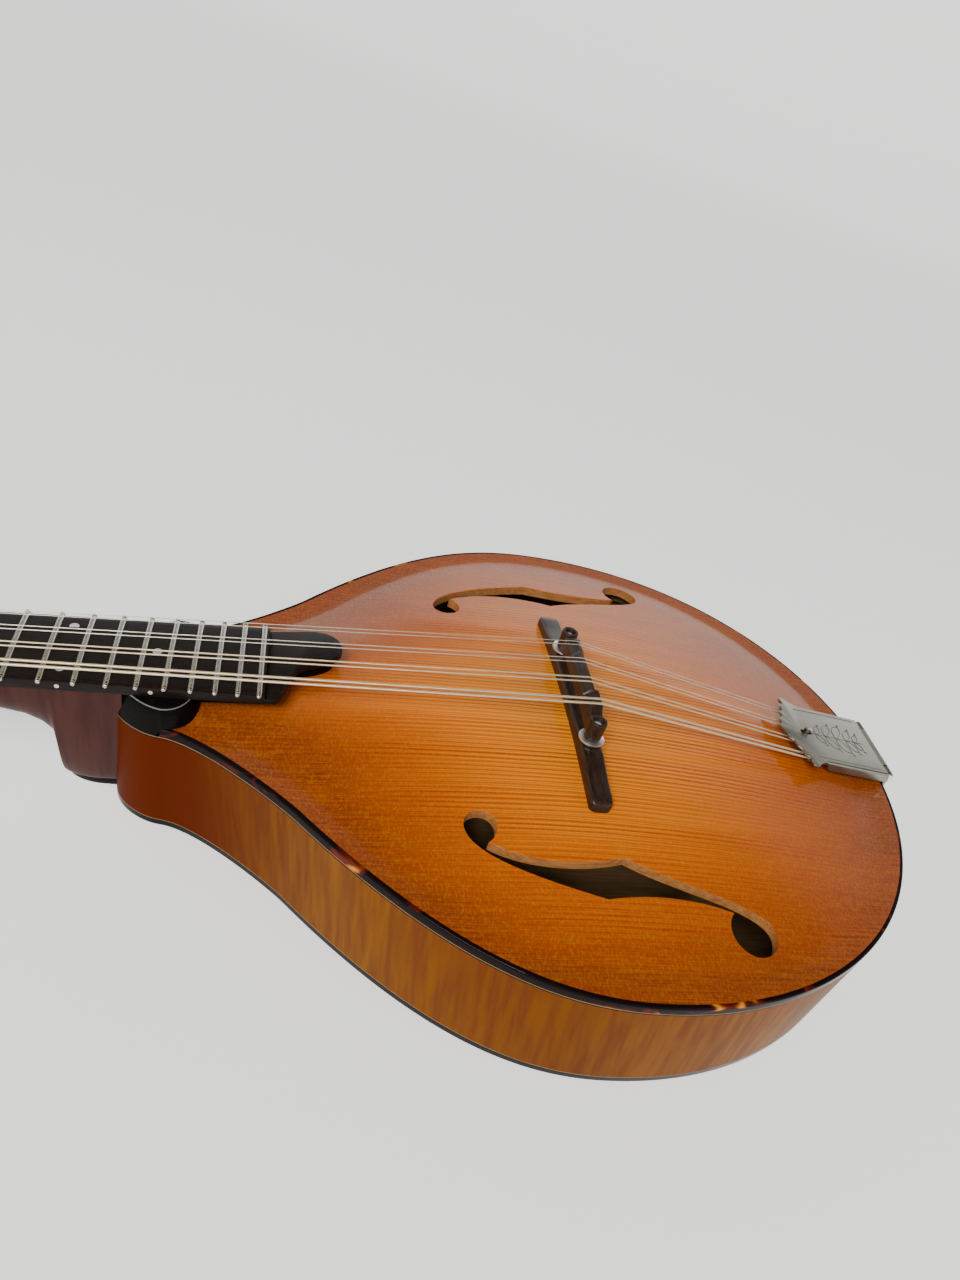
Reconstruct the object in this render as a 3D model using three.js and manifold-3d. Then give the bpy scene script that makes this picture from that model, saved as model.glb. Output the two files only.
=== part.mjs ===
// A carved-top A-style mandolin, in millimetres.
// The origin is the flat of the back below the bridge. +X runs from the headstock to the tail,
// -Y is the bass side, and +Z comes up out of the top.
import * as THREE from 'three';
import { mergeVertices } from 'three/addons/utils/BufferGeometryUtils.js';
import Module from 'manifold-3d';

const wasm = await Module();
wasm.setup();

// ---------------------------------------------------------------- driving dimensions
const SCALE_LENGTH = 352.4;
const FRET_COUNT = 19;
const NECK_ANGLE = THREE.MathUtils.degToRad(4.44);
const HEAD_ANGLE = THREE.MathUtils.degToRad(10.8);
const FRET_PLANE_AT_BRIDGE = 22.9; // height of the fret plane over the body's top edge, under the saddle

const BODY_TAIL = 145.2;
const BODY_FRONT = -165;
const BODY_HALF_WIDTH = 125.9;
const BODY_DEPTH = 48.5; // from the top edge to the back edge
const TOP_ARCH = 11.5;
const BACK_ARCH = 12.5;
const EDGE_HEIGHT = BODY_DEPTH + BACK_ARCH; // the body's top edge over the origin
const PLATE_EDGE = 3.3;
const PLATE_THICKNESS = 3.9;
const RIB_THICKNESS = 2.2;
const BINDING_WIDTH = 1.5;
const LINING_WIDTH = 4.5;
const LINING_HEIGHT = 7;
const CLEARANCE = 0.1; // between pieces of the body that are glued
const FRAME_GAP = 0.3; // between pieces that stand in turned frames
const HEAD_BLOCK_END = -126;
const TAIL_BLOCK_START = 121;
const TAIL_BLOCK_HALF_WIDTH = 32;

const NUT_HALF_WIDTH = 14.3;
const BOARD_HALF_WIDTH_AT_LAST_FRET = 19.48;
const BOARD_CROWN_RADIUS = 220;
const BOARD_TOP = -0.2; // middle of the board under the plane through the fret ends
const BOARD_BOTTOM = -4.6;
const BOARD_END = 239.5;
const EXTENSION_TOP = -2.0;
const FRET_HEIGHT = 0.9;
const FRET_WIDTH = 2.0;

const HEEL_TIP = -184;
const BUTTON_HALF_WIDTH = 9;
const EAR_START = -148.3;
const EAR_LENGTH = 12.3;

const HEAD_LENGTH = 148;
const HEAD_THICKNESS = 12;
const HEADPLATE_THICKNESS = 2;
const POST_FIRST = -38;
const POST_PITCH = 23.3;
const POST_OFFSET = 17.5;
const POST_RADIUS = 3;
const GEAR_TEETH = 14;
const GEAR_RADIUS = 4.6;
const WORM_OFFSET = 7.4; // from a post's axis to its worm's axis
const WORM_RADIUS = 2.4;
const BUTTON_OFFSET = 29; // from the middle of a worm to the middle of its button

const STRING_NAMES = ['g_outer', 'g_inner', 'd_outer', 'd_inner', 'a_inner', 'a_outer', 'e_inner', 'e_outer'];
const STRING_RADII = [0.51, 0.51, 0.33, 0.33, 0.21, 0.21, 0.16, 0.16];
const STRING_COMPENSATION = [3.1, 3.1, 1.0, 1.0, 0.9, 0.9, 1.4, 1.4];
const COURSES = [-1, -1 / 3, 1 / 3, 1];
const SPREAD_AT_NUT = 10.65;
const SPREAD_AT_SADDLE = 17.4;
const SPREAD_AT_TAIL = 12.5;
const PAIR_HALF_GAP = [1.03, 1.21, 1.3]; // at the nut, the saddle and the tailpiece
const STRING_CLEARANCE_AT_NUT = 0.25; // over the tops of the frets
const STRING_HEIGHT_AT_SADDLE = 4.31;

const BRIDGE_X = 0.5;
const BRIDGE_HALF_LENGTH = 55.5;
const BRIDGE_WIDTH = 8.2;
const BRIDGE_POST_Y = 26.6;
const BRIDGE_POST_RADIUS = 1.6;
const THUMBWHEEL_RADIUS = 4.9;

const COVER_FRONT_HEIGHT = 11.1;
const COVER_REAR_HEIGHT = 6.8;
const COVER_FRONT = 94.5;
const COVER_REAR = 143.3;
const COVER_HALF_WIDTH = 17.5;
const COVER_SKIRT = 4.4;
const COVER_SHEET = 0.9;
const HINGE_HEIGHT = 5.4;
const HINGE_BARREL_RADIUS = 1.6;
const HINGE_PIN_RADIUS = 0.8;
const END_PIN_DROP = 24;

const FINISHES = {
  spruce: [0xb8641c, 0.25, 0],
  maple: [0x9a5a22, 0.25, 0],
  dark_maple: [0x3a1f1a, 0.3, 0],
  inside_wood: [0xc9a878, 0.8, 0],
  tortoiseshell: [0x2a0f0a, 0.2, 0],
  black_binding: [0x151212, 0.25, 0],
  ebony: [0x1c1716, 0.45, 0],
  rosewood: [0x2b1b14, 0.5, 0],
  bone: [0xe8e0cc, 0.45, 0],
  nickel: [0xb9b5aa, 0.3, 1],
  steel: [0xa8a8a8, 0.35, 1],
  brass: [0xb5954f, 0.3, 1],
  bronze: [0xcaa47a, 0.35, 1],
  pearl_plastic: [0xe9e3d2, 0.3, 0],
};

// ---------------------------------------------------------------- solids and booleans
function solid(geometry) {
  const bare = geometry.index ? geometry.toNonIndexed() : geometry.clone();
  bare.deleteAttribute('normal');
  bare.deleteAttribute('uv');
  const merged = mergeVertices(bare, 1e-4);
  return new wasm.Manifold(new wasm.Mesh({
    numProp: 3,
    vertProperties: merged.attributes.position.array,
    triVerts: new Uint32Array(merged.index.array),
  }));
}

function geometryOf(manifold) {
  const mesh = manifold.getMesh();
  const geometry = new THREE.BufferGeometry();
  geometry.setAttribute('position', new THREE.BufferAttribute(mesh.vertProperties, 3));
  geometry.setIndex(new THREE.BufferAttribute(mesh.triVerts, 1));
  geometry.computeVertexNormals();
  return geometry;
}

function box(low, high) {
  const size = high.map((value, i) => value - low[i]);
  const middle = high.map((value, i) => (value + low[i]) / 2);
  return solid(new THREE.BoxGeometry(...size).translate(...middle));
}

function slab(shape, bottom, top, curveSegments = 12) {
  const options = { depth: top - bottom, bevelEnabled: false, curveSegments };
  return new THREE.ExtrudeGeometry(shape, options).translate(0, 0, bottom);
}

// A (y, z) profile drawn out along X.
function alongX(shape, start, end, curveSegments = 12) {
  return slab(shape, start, end, curveSegments).rotateX(Math.PI / 2).rotateZ(Math.PI / 2);
}

// A (x, z) profile drawn out along Y, from -halfWidth to halfWidth.
function alongY(shape, halfWidth, curveSegments = 12) {
  return slab(shape, -halfWidth, halfWidth, curveSegments).rotateX(Math.PI / 2);
}

function upright(radius, bottom, top, x, y, sides = 16) {
  const geometry = new THREE.CylinderGeometry(radius, radius, top - bottom, sides);
  return geometry.rotateX(Math.PI / 2).translate(x, y, (top + bottom) / 2);
}

function across(radius, start, end, x, z, sides = 16) {
  const geometry = new THREE.CylinderGeometry(radius, radius, end - start, sides);
  return geometry.translate(x, (start + end) / 2, z);
}

function lengthwise(radius, start, end, y, z, sides = 16) {
  const geometry = new THREE.CylinderGeometry(radius, radius, end - start, sides);
  return geometry.rotateZ(Math.PI / 2).translate((start + end) / 2, y, z);
}

function shapeOf(points) {
  return new THREE.Shape(points.map((point) => new THREE.Vector2(point[0], point[1])));
}

// A closed skin over rings of equal length: its sides run from ring to ring, its ends are fans.
function loft(rings) {
  const count = rings[0].length;
  const positions = rings.flat(2);
  const faces = [];
  for (let i = 0; i < rings.length - 1; i++) {
    for (let k = 0; k < count; k++) {
      const next = (k + 1) % count;
      const corners = [i * count + k, i * count + next, (i + 1) * count + next, (i + 1) * count + k];
      faces.push(corners[0], corners[1], corners[2], corners[0], corners[2], corners[3]);
    }
  }
  const last = (rings.length - 1) * count;
  for (let k = 1; k < count - 1; k++) {
    faces.push(0, k + 1, k);
    faces.push(last, last + k, last + k + 1);
  }
  const geometry = new THREE.BufferGeometry();
  geometry.setAttribute('position', new THREE.Float32BufferAttribute(positions, 3));
  geometry.setIndex(faces);
  return geometry;
}

// ---------------------------------------------------------------- frames
const mandolin = new THREE.Group();
const body = new THREE.Group();
body.position.z = EDGE_HEIGHT;
mandolin.add(body);

// The neck frame starts at the nut: +X along the strings, Z = 0 in the plane through the fret ends.
const neckFrame = new THREE.Group();
const nutX = -SCALE_LENGTH * Math.cos(NECK_ANGLE);
neckFrame.position.set(nutX, 0, FRET_PLANE_AT_BRIDGE - SCALE_LENGTH * Math.sin(NECK_ANGLE));
neckFrame.rotation.y = -NECK_ANGLE;
body.add(neckFrame);

// The head frame starts at the front of the nut, with Z = 0 on the overlay's face.
const headFrame = new THREE.Group();
headFrame.position.set(-4.7, 0, -3.2);
headFrame.rotation.y = -HEAD_ANGLE;
neckFrame.add(headFrame);
mandolin.updateMatrixWorld(true);

function inBody(frame, point) {
  return body.worldToLocal(frame.localToWorld(new THREE.Vector3(...point)));
}

function toBody(frame, geometry) {
  const matrix = body.matrixWorld.clone().invert().multiply(frame.matrixWorld);
  return geometry.applyMatrix4(matrix);
}

function fretPlane(x) {
  return FRET_PLANE_AT_BRIDGE + x * Math.tan(NECK_ANGLE);
}

function add(frame, name, finish, shape) {
  const geometry = shape.isBufferGeometry ? shape : geometryOf(shape);
  const [color, roughness, metalness] = FINISHES[finish];
  const material = new THREE.MeshStandardMaterial({ color, roughness, metalness });
  const mesh = new THREE.Mesh(geometry, material);
  mesh.name = name;
  frame.add(mesh);
}

// ---------------------------------------------------------------- the body's outline
const HALF_OUTLINE = new THREE.CurvePath();
const bezier = (...values) => new THREE.CubicBezierCurve(
  ...[0, 2, 4, 6].map((i) => new THREE.Vector2(values[i], values[i + 1])));
HALF_OUTLINE.add(bezier(BODY_TAIL, 0, BODY_TAIL, 71, 89.7, BODY_HALF_WIDTH, 14.5, BODY_HALF_WIDTH));
HALF_OUTLINE.add(bezier(14.5, BODY_HALF_WIDTH, -15.5, BODY_HALF_WIDTH, -49.3, 119.1, -102.5, 59.3));
HALF_OUTLINE.add(bezier(-102.5, 59.3, -105.8, 55.6, -133.9, 28.8, -148, 27.4));
HALF_OUTLINE.add(bezier(-148, 27.4, -154.5, 26.8, -164.5, 20, BODY_FRONT, 11));
HALF_OUTLINE.add(new THREE.LineCurve(new THREE.Vector2(BODY_FRONT, 11), new THREE.Vector2(BODY_FRONT, 0)));
const HALF_STEPS = 32;

// The whole outline moved inwards, from the tail round the treble side to the neck and back.
function outline(inset) {
  const points = HALF_OUTLINE.getSpacedPoints(HALF_STEPS);
  const half = points.map((point, i) => {
    if (i === 0) return [point.x - inset, 0];
    if (i === HALF_STEPS) return [point.x + inset, 0];
    const along = new THREE.Vector2().subVectors(points[i + 1], points[i - 1]).normalize();
    return [point.x - along.y * inset, point.y + along.x * inset];
  });
  const mirrored = half.slice(1, -1).reverse().map(([x, y]) => [x, -y]);
  return half.concat(mirrored);
}

function ringWall(outer, inner, bottom, top) {
  const shape = shapeOf(outline(outer));
  shape.holes.push(new THREE.Path(outline(inner).map(([x, y]) => new THREE.Vector2(x, y))));
  return solid(slab(shape, bottom, top));
}

// The carved arch: a dome that falls to a shallow trough before the flat edge. t is 0 in the
// middle and 1 at the edge.
function archShape(t) {
  const dome = Math.cos(Math.min(t / 0.93, 1) * Math.PI / 2);
  const trough = Math.max(0, 1 - ((t - 0.925) / 0.045) ** 2);
  return Math.max(dome, 0) - 0.04 * trough;
}

const RING_FRACTIONS = [0.12, 0.36, 0.58, 0.75, 0.88, 0.95, 1];

// A carved plate: outer(t) and inner(t) are the heights of its two faces, outer the higher one.
function carvedPlate(inset, upper, lower) {
  const edge = outline(inset);
  const rings = [];
  for (const t of RING_FRACTIONS) rings.push(edge.map(([x, y]) => [x * t, y * t, lower(t)]));
  for (const t of [...RING_FRACTIONS].reverse()) rings.push(edge.map(([x, y]) => [x * t, y * t, upper(t)]));
  return solid(loft(rings));
}

// ---------------------------------------------------------------- f-holes
function fHoleShape() {
  const shape = new THREE.Shape();
  shape.moveTo(-40.6, 69.2);
  shape.bezierCurveTo(-38.3, 67.6, -37.1, 65, -37.1, 62.2);
  shape.absarc(-42.7, 62.2, 5.6, 0, -Math.PI, true);
  shape.bezierCurveTo(-48.3, 73, -28, 82, -2.5, 89.1);
  shape.bezierCurveTo(8, 87, 26, 85.8, 43, 91.1);
  shape.bezierCurveTo(41.2, 93, 40.1, 95.3, 40.1, 98);
  shape.absarc(48.7, 98, 8.6, Math.PI, 0, true);
  shape.bezierCurveTo(57.3, 87, 24, 83, 6.6, 73.1);
  shape.bezierCurveTo(-8, 77.2, -27, 77.2, -40.6, 69.2);
  return shape;
}

const trebleHole = solid(slab(fHoleShape(), -20, 20, 5));
const bassHole = trebleHole.mirror([0, 1, 0]);

// ---------------------------------------------------------------- plates, ribs and bindings
const topFace = (t) => TOP_ARCH * archShape(t);
const topInside = (t) => Math.max(topFace(t) - PLATE_THICKNESS, -PLATE_EDGE);
const topPlate = carvedPlate(BINDING_WIDTH + CLEARANCE, topFace, topInside);
add(body, 'top_plate', 'spruce', topPlate.subtract(trebleHole).subtract(bassHole));

const backFace = (t) => -BODY_DEPTH - BACK_ARCH * archShape(t < 0.2 ? 0 : t);
const backInside = (t) => Math.min(backFace(t) + PLATE_THICKNESS, -BODY_DEPTH + PLATE_EDGE);
const buttonShape = new THREE.Shape();
buttonShape.moveTo(-158, -BUTTON_HALF_WIDTH);
buttonShape.lineTo(-158, BUTTON_HALF_WIDTH);
buttonShape.lineTo(-170, BUTTON_HALF_WIDTH);
buttonShape.bezierCurveTo(-178, BUTTON_HALF_WIDTH, HEEL_TIP, 5, HEEL_TIP, 0);
buttonShape.bezierCurveTo(HEEL_TIP, -5, -178, -BUTTON_HALF_WIDTH, -170, -BUTTON_HALF_WIDTH);
const button = solid(slab(buttonShape, -BODY_DEPTH, -BODY_DEPTH + PLATE_EDGE, 6));
add(body, 'back_plate', 'maple', carvedPlate(BINDING_WIDTH + CLEARANCE, backInside, backFace).add(button));

const ribTop = -PLATE_EDGE - CLEARANCE;
const ribBottom = -BODY_DEPTH + PLATE_EDGE + CLEARANCE;
const neckOpening = box([-200, -9.3, -60], [-160, 9.3, 10]);
const pinHole = solid(lengthwise(3.3, 100, 200, 0, -END_PIN_DROP));
const SIDES = { treble: 1, bass: -1 };

function halfSpace(side, seam) {
  return side > 0 ? box([-300, seam, -100], [300, 200, 100]) : box([-300, -200, -100], [300, -seam, 100]);
}

const ribs = ringWall(0, RIB_THICKNESS, ribBottom, ribTop).subtract(neckOpening).subtract(pinHole);
const liningInset = RIB_THICKNESS + CLEARANCE;
const blockSpace = box([-300, -200, -100], [HEAD_BLOCK_END + CLEARANCE, 200, 100])
  .add(box([100, -TAIL_BLOCK_HALF_WIDTH - CLEARANCE, -100], [200, TAIL_BLOCK_HALF_WIDTH + CLEARANCE, 100]));
const topLining = ringWall(liningInset, liningInset + LINING_WIDTH, ribTop - LINING_HEIGHT, ribTop)
  .subtract(blockSpace);
const backLining = ringWall(liningInset, liningInset + LINING_WIDTH, ribBottom, ribBottom + LINING_HEIGHT)
  .subtract(blockSpace);
for (const [name, side] of Object.entries(SIDES)) {
  add(body, `rib_${name}`, 'maple', ribs.intersect(halfSpace(side, CLEARANCE)));
  add(body, `top_lining_${name}`, 'inside_wood', topLining.intersect(halfSpace(side, CLEARANCE)));
  add(body, `back_lining_${name}`, 'inside_wood', backLining.intersect(halfSpace(side, CLEARANCE)));
}

const inside = solid(slab(shapeOf(outline(liningInset)), ribBottom, ribTop));
const headBlock = inside.intersect(box([-200, -100, -100], [HEAD_BLOCK_END, 100, 100]))
  .add(box([BODY_FRONT + CLEARANCE, -9, ribBottom], [-150, 9, ribTop]));
add(body, 'head_block', 'inside_wood', headBlock);
const tailBlock = inside.intersect(
  box([TAIL_BLOCK_START, -TAIL_BLOCK_HALF_WIDTH, -100], [200, TAIL_BLOCK_HALF_WIDTH, 100]));
add(body, 'tail_block', 'inside_wood', tailBlock.subtract(pinHole));

const earSpace = box([-300, -100, -100], [EAR_START, 100, 100]);
const topBinding = ringWall(0, BINDING_WIDTH, -PLATE_EDGE, 0).subtract(earSpace);
const backBinding = ringWall(0, BINDING_WIDTH, -BODY_DEPTH, -BODY_DEPTH + PLATE_EDGE);
add(body, 'top_binding', 'tortoiseshell', topBinding);
add(body, 'back_binding', 'black_binding', backBinding.subtract(neckOpening));

// Tone bars under the top: their upper edge follows the arch along the bar.
function outlineFraction(x, y) {
  const angle = Math.atan2(Math.abs(y), x);
  const edge = outline(BINDING_WIDTH + CLEARANCE);
  for (let i = 1; i <= HALF_STEPS; i++) {
    const before = edge[i - 1];
    const after = edge[i];
    const low = Math.atan2(before[1], before[0]);
    const high = Math.atan2(after[1], after[0]);
    if (angle > high) continue;
    const share = (angle - low) / (high - low);
    const rim = THREE.MathUtils.lerp(Math.hypot(...before), Math.hypot(...after), share);
    return Math.hypot(x, y) / rim;
  }
  return 1;
}

const TONE_BAR = { start: -104, end: 98, offset: 19, splay: 0.06, halfWidth: 2.6, depth: 10, steps: 14 };
for (const [name, side] of Object.entries(SIDES)) {
  const sections = [];
  for (let i = 0; i <= TONE_BAR.steps; i++) {
    const x = THREE.MathUtils.lerp(TONE_BAR.start, TONE_BAR.end, i / TONE_BAR.steps);
    const y = side * (TONE_BAR.offset + TONE_BAR.splay * (x + 100));
    const upper = topInside(outlineFraction(x, Math.abs(y) + TONE_BAR.halfWidth)) - 0.8;
    const lower = upper - 2 - (TONE_BAR.depth - 2) * Math.sin(Math.PI * i / TONE_BAR.steps);
    const half = TONE_BAR.halfWidth;
    sections.push([[x, y - half, lower], [x, y + half, lower], [x, y + half, upper], [x, y - half, upper]]);
  }
  add(body, `tone_bar_${name}`, 'inside_wood', loft(sections));
}

// ---------------------------------------------------------------- neck and headstock
const boardHalfWidth = (x) => THREE.MathUtils.mapLinear(
  x, 0, SCALE_LENGTH * (1 - 2 ** (-FRET_COUNT / 12)), NUT_HALF_WIDTH, BOARD_HALF_WIDTH_AT_LAST_FRET);

// How deep the neck's back lies under the board, from the nut to the heel.
const NECK_DEPTHS = [
  [nutX - 4.7, 13.2], [nutX + 12, 14.4], [-300, 15.2], [-260, 16], [-230, 16.8], [-215, 17.4],
  [-203, 18.9], [-195, 22], [-189.5, 26.5], [-186, 31.5], [-184.6, 37.5], [HEEL_TIP, 50],
  [-181, 50], [-176, 50], [-170, 50], [BODY_FRONT - FRAME_GAP, 50],
];
const HEEL_BOTTOM = -BODY_DEPTH + PLATE_EDGE + CLEARANCE;
const NECK_SECTION_STEPS = 14;

function heelHalfWidth(x) {
  if (x < HEEL_TIP) return 0;
  const share = Math.min((x - HEEL_TIP) / (-170 - HEEL_TIP), 1);
  return BUTTON_HALF_WIDTH * Math.sqrt(1 - (1 - share) ** 2);
}

function neckSection([x, depth]) {
  const top = fretPlane(x) + (BOARD_BOTTOM - FRAME_GAP) / Math.cos(NECK_ANGLE);
  const half = boardHalfWidth((x - nutX) / Math.cos(NECK_ANGLE)) - 0.15;
  const foot = heelHalfWidth(x);
  const drop = Math.min(depth, top - HEEL_BOTTOM);
  const section = [];
  for (let k = 0; k <= NECK_SECTION_STEPS; k++) {
    const angle = Math.PI * k / NECK_SECTION_STEPS;
    const spread = Math.sign(Math.cos(angle)) * Math.min(1, 3 * Math.abs(Math.cos(angle)));
    const y = (half - foot) * Math.cos(angle) + foot * spread;
    section.push([x, y, top - drop * Math.sin(angle) ** 0.9]);
  }
  return section.reverse();
}

function headstockShape(inset) {
  const half = new THREE.Path();
  half.moveTo(0, 15.2 - inset);
  half.bezierCurveTo(-12, 15.6 - inset, -16, 25 - inset, -27, 26 - inset);
  half.lineTo(-118, 30.5 - inset);
  half.bezierCurveTo(-128, 31 - inset, -132, 30 - inset, -135, 26 - inset);
  half.bezierCurveTo(-138, 20, -139, 14, -HEAD_LENGTH + inset, 0);
  const points = half.getPoints(6).map((point) => [point.x, point.y]);
  return shapeOf(points.concat(points.slice(0, -1).reverse().map(([x, y]) => [x, -y])));
}

const posts = [];
for (const [name, side] of Object.entries(SIDES)) {
  for (let i = 0; i < 4; i++) posts.push({ name: `${name}_${i + 1}`, side, x: POST_FIRST - i * POST_PITCH });
}

let headWood = solid(slab(headstockShape(0), -HEADPLATE_THICKNESS - FRAME_GAP - HEAD_THICKNESS,
  -HEADPLATE_THICKNESS - FRAME_GAP));
let headplate = solid(slab(headstockShape(0.2), -HEADPLATE_THICKNESS, 0));
for (const post of posts) {
  const hole = solid(upright(4.2, -30, 10, post.x, post.side * POST_OFFSET, 12));
  headWood = headWood.subtract(hole);
  headplate = headplate.subtract(hole);
}

const TRUSS = { height: -9.6, radius: 2.2, start: -9, end: 185, nutRadius: 3, nutStart: -16.5, nutEnd: -9.6 };
const trussPocket = box([-27, -4.6, -15], [-3.8, 4.6, 10]);
headplate = headplate.subtract(box([-22, -4.6, -15], [-2, 4.6, 10]));
const trussChannel = box([-6, -2.7, TRUSS.height - 2.7], [TRUSS.end + 1, 2.7, 5]);
const cutInNeck = (shape) => solid(toBody(neckFrame, geometryOf(shape)));

const shaft = solid(loft(NECK_DEPTHS.map(neckSection)));
const headInBody = solid(toBody(headFrame, geometryOf(headWood)));
const overHead = solid(toBody(headFrame, new THREE.BoxGeometry(40, 60, 20)
  .translate(-20.1, 0, 10 - HEADPLATE_THICKNESS - FRAME_GAP)));
const neckWood = shaft.add(headInBody).subtract(cutInNeck(trussChannel))
  .subtract(overHead.intersect(box([-400, -50, -50], [nutX - 4.7, 50, 50])))
  .subtract(cutInNeck(trussPocket.intersect(box([-27, -5, -13.2], [-5.6, 5, 10]))));
add(body, 'neck', 'dark_maple', neckWood);
add(headFrame, 'headplate', 'ebony', headplate.subtract(box([-0.9, -20, -5], [5, 20, 5])));

const trussRod = lengthwise(TRUSS.radius, TRUSS.start, TRUSS.end, 0, TRUSS.height, 12);
add(neckFrame, 'truss_rod', 'steel', trussRod);
const trussNut = solid(lengthwise(TRUSS.nutRadius, TRUSS.nutStart, TRUSS.nutEnd + 3, 0, TRUSS.height, 6));
const trussBore = solid(lengthwise(TRUSS.radius + 0.15, TRUSS.start - 0.3, 0, 0, TRUSS.height, 12));
add(neckFrame, 'truss_rod_nut', 'brass', trussNut.subtract(trussBore));

const coverPlate = new THREE.Shape();
coverPlate.moveTo(-1.5, -10);
coverPlate.lineTo(-1.5, 10);
coverPlate.bezierCurveTo(-14, 10, -18, 7, -34, 1.6);
coverPlate.bezierCurveTo(-35.5, 0.8, -35.5, -0.8, -34, -1.6);
coverPlate.bezierCurveTo(-18, -7, -14, -10, -1.5, -10);
add(headFrame, 'truss_rod_cover', 'black_binding', slab(coverPlate, FRAME_GAP, FRAME_GAP + 1.8, 6));

// ---------------------------------------------------------------- fretboard, nut and riser
const BOARD_CORNER_Y = boardHalfWidth(BOARD_END);
const boardShape = new THREE.Shape();
boardShape.moveTo(0, -NUT_HALF_WIDTH);
boardShape.lineTo(BOARD_END, -BOARD_CORNER_Y);
boardShape.bezierCurveTo(243, -14, 244, -8, 246, -4.5);
boardShape.bezierCurveTo(247.5, -1.5, 249, -1, 253, 1);
boardShape.bezierCurveTo(260, 3.5, 263, 7, 262.9, 11.5);
boardShape.bezierCurveTo(262.8, 17.5, 259, 21.5, 252, 21.7);
boardShape.lineTo(BOARD_END, BOARD_CORNER_Y);
boardShape.lineTo(0, NUT_HALF_WIDTH);

// The crowned section of the board: a flat bottom and a top on the crown radius.
function crownShape(halfWidth, bottom, top) {
  const steps = 8;
  const points = [[halfWidth, bottom]];
  for (let i = 0; i <= steps; i++) {
    const y = THREE.MathUtils.lerp(halfWidth, -halfWidth, i / steps);
    points.push([y, top - BOARD_CROWN_RADIUS + Math.sqrt(BOARD_CROWN_RADIUS ** 2 - y * y)]);
  }
  points.push([-halfWidth, bottom]);
  return shapeOf(points);
}

let board = solid(slab(boardShape, BOARD_BOTTOM, 2, 6))
  .intersect(solid(alongX(crownShape(30, BOARD_BOTTOM - 1, BOARD_TOP), -10, 280)))
  .subtract(box([BOARD_END, -40, EXTENSION_TOP], [300, 40, 10]));
for (let fret = 1; fret <= FRET_COUNT; fret++) {
  const x = SCALE_LENGTH * (1 - 2 ** (-fret / 12));
  const crown = crownShape(boardHalfWidth(x) - 0.1, BOARD_BOTTOM + 1.5, BOARD_TOP + FRET_HEIGHT);
  board = board.add(solid(alongX(crown, x - FRET_WIDTH / 2, x + FRET_WIDTH / 2)));
}
add(neckFrame, 'fretboard', 'ebony', board);

const nutBlock = box([-4.4, -NUT_HALF_WIDTH, BOARD_BOTTOM], [-FRAME_GAP, NUT_HALF_WIDTH, -0.15]);
add(neckFrame, 'nut', 'bone', nutBlock);

function earShape(side) {
  const shape = new THREE.Shape();
  shape.moveTo(EAR_START - 1, 0);
  shape.lineTo(EAR_START - 1, side * 27.3);
  shape.lineTo(EAR_START + 0.3, side * 27.3);
  const tip = EAR_START + EAR_LENGTH;
  shape.bezierCurveTo(-141.5, side * 27.3, tip, side * 22, tip, side * 15);
  shape.lineTo(tip, 0);
  return shape;
}

const tongueShape = new THREE.Shape();
tongueShape.moveTo(-150, -16.6);
tongueShape.lineTo(-114.5, -17.6);
tongueShape.bezierCurveTo(-112.5, -13, -110.5, -8, -108.2, -3.6);
tongueShape.bezierCurveTo(-106, 0.5, -104, 1.5, -100.5, 2.8);
tongueShape.bezierCurveTo(-93.5, 5, -91.6, 8, -91.6, 11.4);
tongueShape.bezierCurveTo(-91.6, 16.5, -95, 19.8, -101, 19.8);
tongueShape.lineTo(-114.5, 17.8);
tongueShape.lineTo(-150, 16.6);

const rimShape = solid(slab(shapeOf(outline(0)), -PLATE_EDGE, 30))
  .intersect(box([BODY_FRONT, -40, -10], [EAR_START - 0.1, 40, 30]));
const bottomOfBoard = inBody(neckFrame, [0, 0, BOARD_BOTTOM - FRAME_GAP]);
const overBoardBottom = solid(new THREE.BoxGeometry(600, 100, 60).translate(0, 0, 30)
  .rotateY(-NECK_ANGLE).translate(bottomOfBoard.x, 0, bottomOfBoard.z));
const plateEnvelope = carvedPlate(BINDING_WIDTH, (t) => topFace(t) + 0.15, () => -PLATE_EDGE - 1);
const ears = solid(slab(earShape(1), -PLATE_EDGE, 30, 6)).add(solid(slab(earShape(-1), -PLATE_EDGE, 30, 6)));
const underPlate = ringWall(-1, BINDING_WIDTH + 0.05, -10, 0.1)
  .intersect(box([EAR_START - 0.1, -40, -20], [0, 40, 20]));
const riser = rimShape.add(ears).add(solid(slab(tongueShape, -PLATE_EDGE, 30, 6)))
  .subtract(overBoardBottom).subtract(plateEnvelope).subtract(underPlate);
add(body, 'riser', 'ebony', riser);

// ---------------------------------------------------------------- bridge
const archAt = (y) => topFace(outlineFraction(BRIDGE_X, y) + 0.001);

function bridgeBaseShape() {
  const foot = [];
  const steps = 12;
  for (let i = 0; i <= steps; i++) {
    const y = THREE.MathUtils.lerp(-BRIDGE_HALF_LENGTH, BRIDGE_HALF_LENGTH, i / steps);
    foot.push(new THREE.Vector2(y, archAt(y) + 0.35));
  }
  const shape = new THREE.Shape();
  shape.setFromPoints(foot);
  shape.bezierCurveTo(BRIDGE_HALF_LENGTH, 12, 53.5, 12.6, 50, 13);
  shape.bezierCurveTo(44, 13.6, 38, 15.9, 31, 15.9);
  shape.lineTo(-31, 15.9);
  shape.bezierCurveTo(-38, 15.9, -44, 13.6, -50, 13);
  shape.bezierCurveTo(-53.5, 12.6, -BRIDGE_HALF_LENGTH, 12, foot[0].x, foot[0].y);
  return shape;
}

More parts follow.
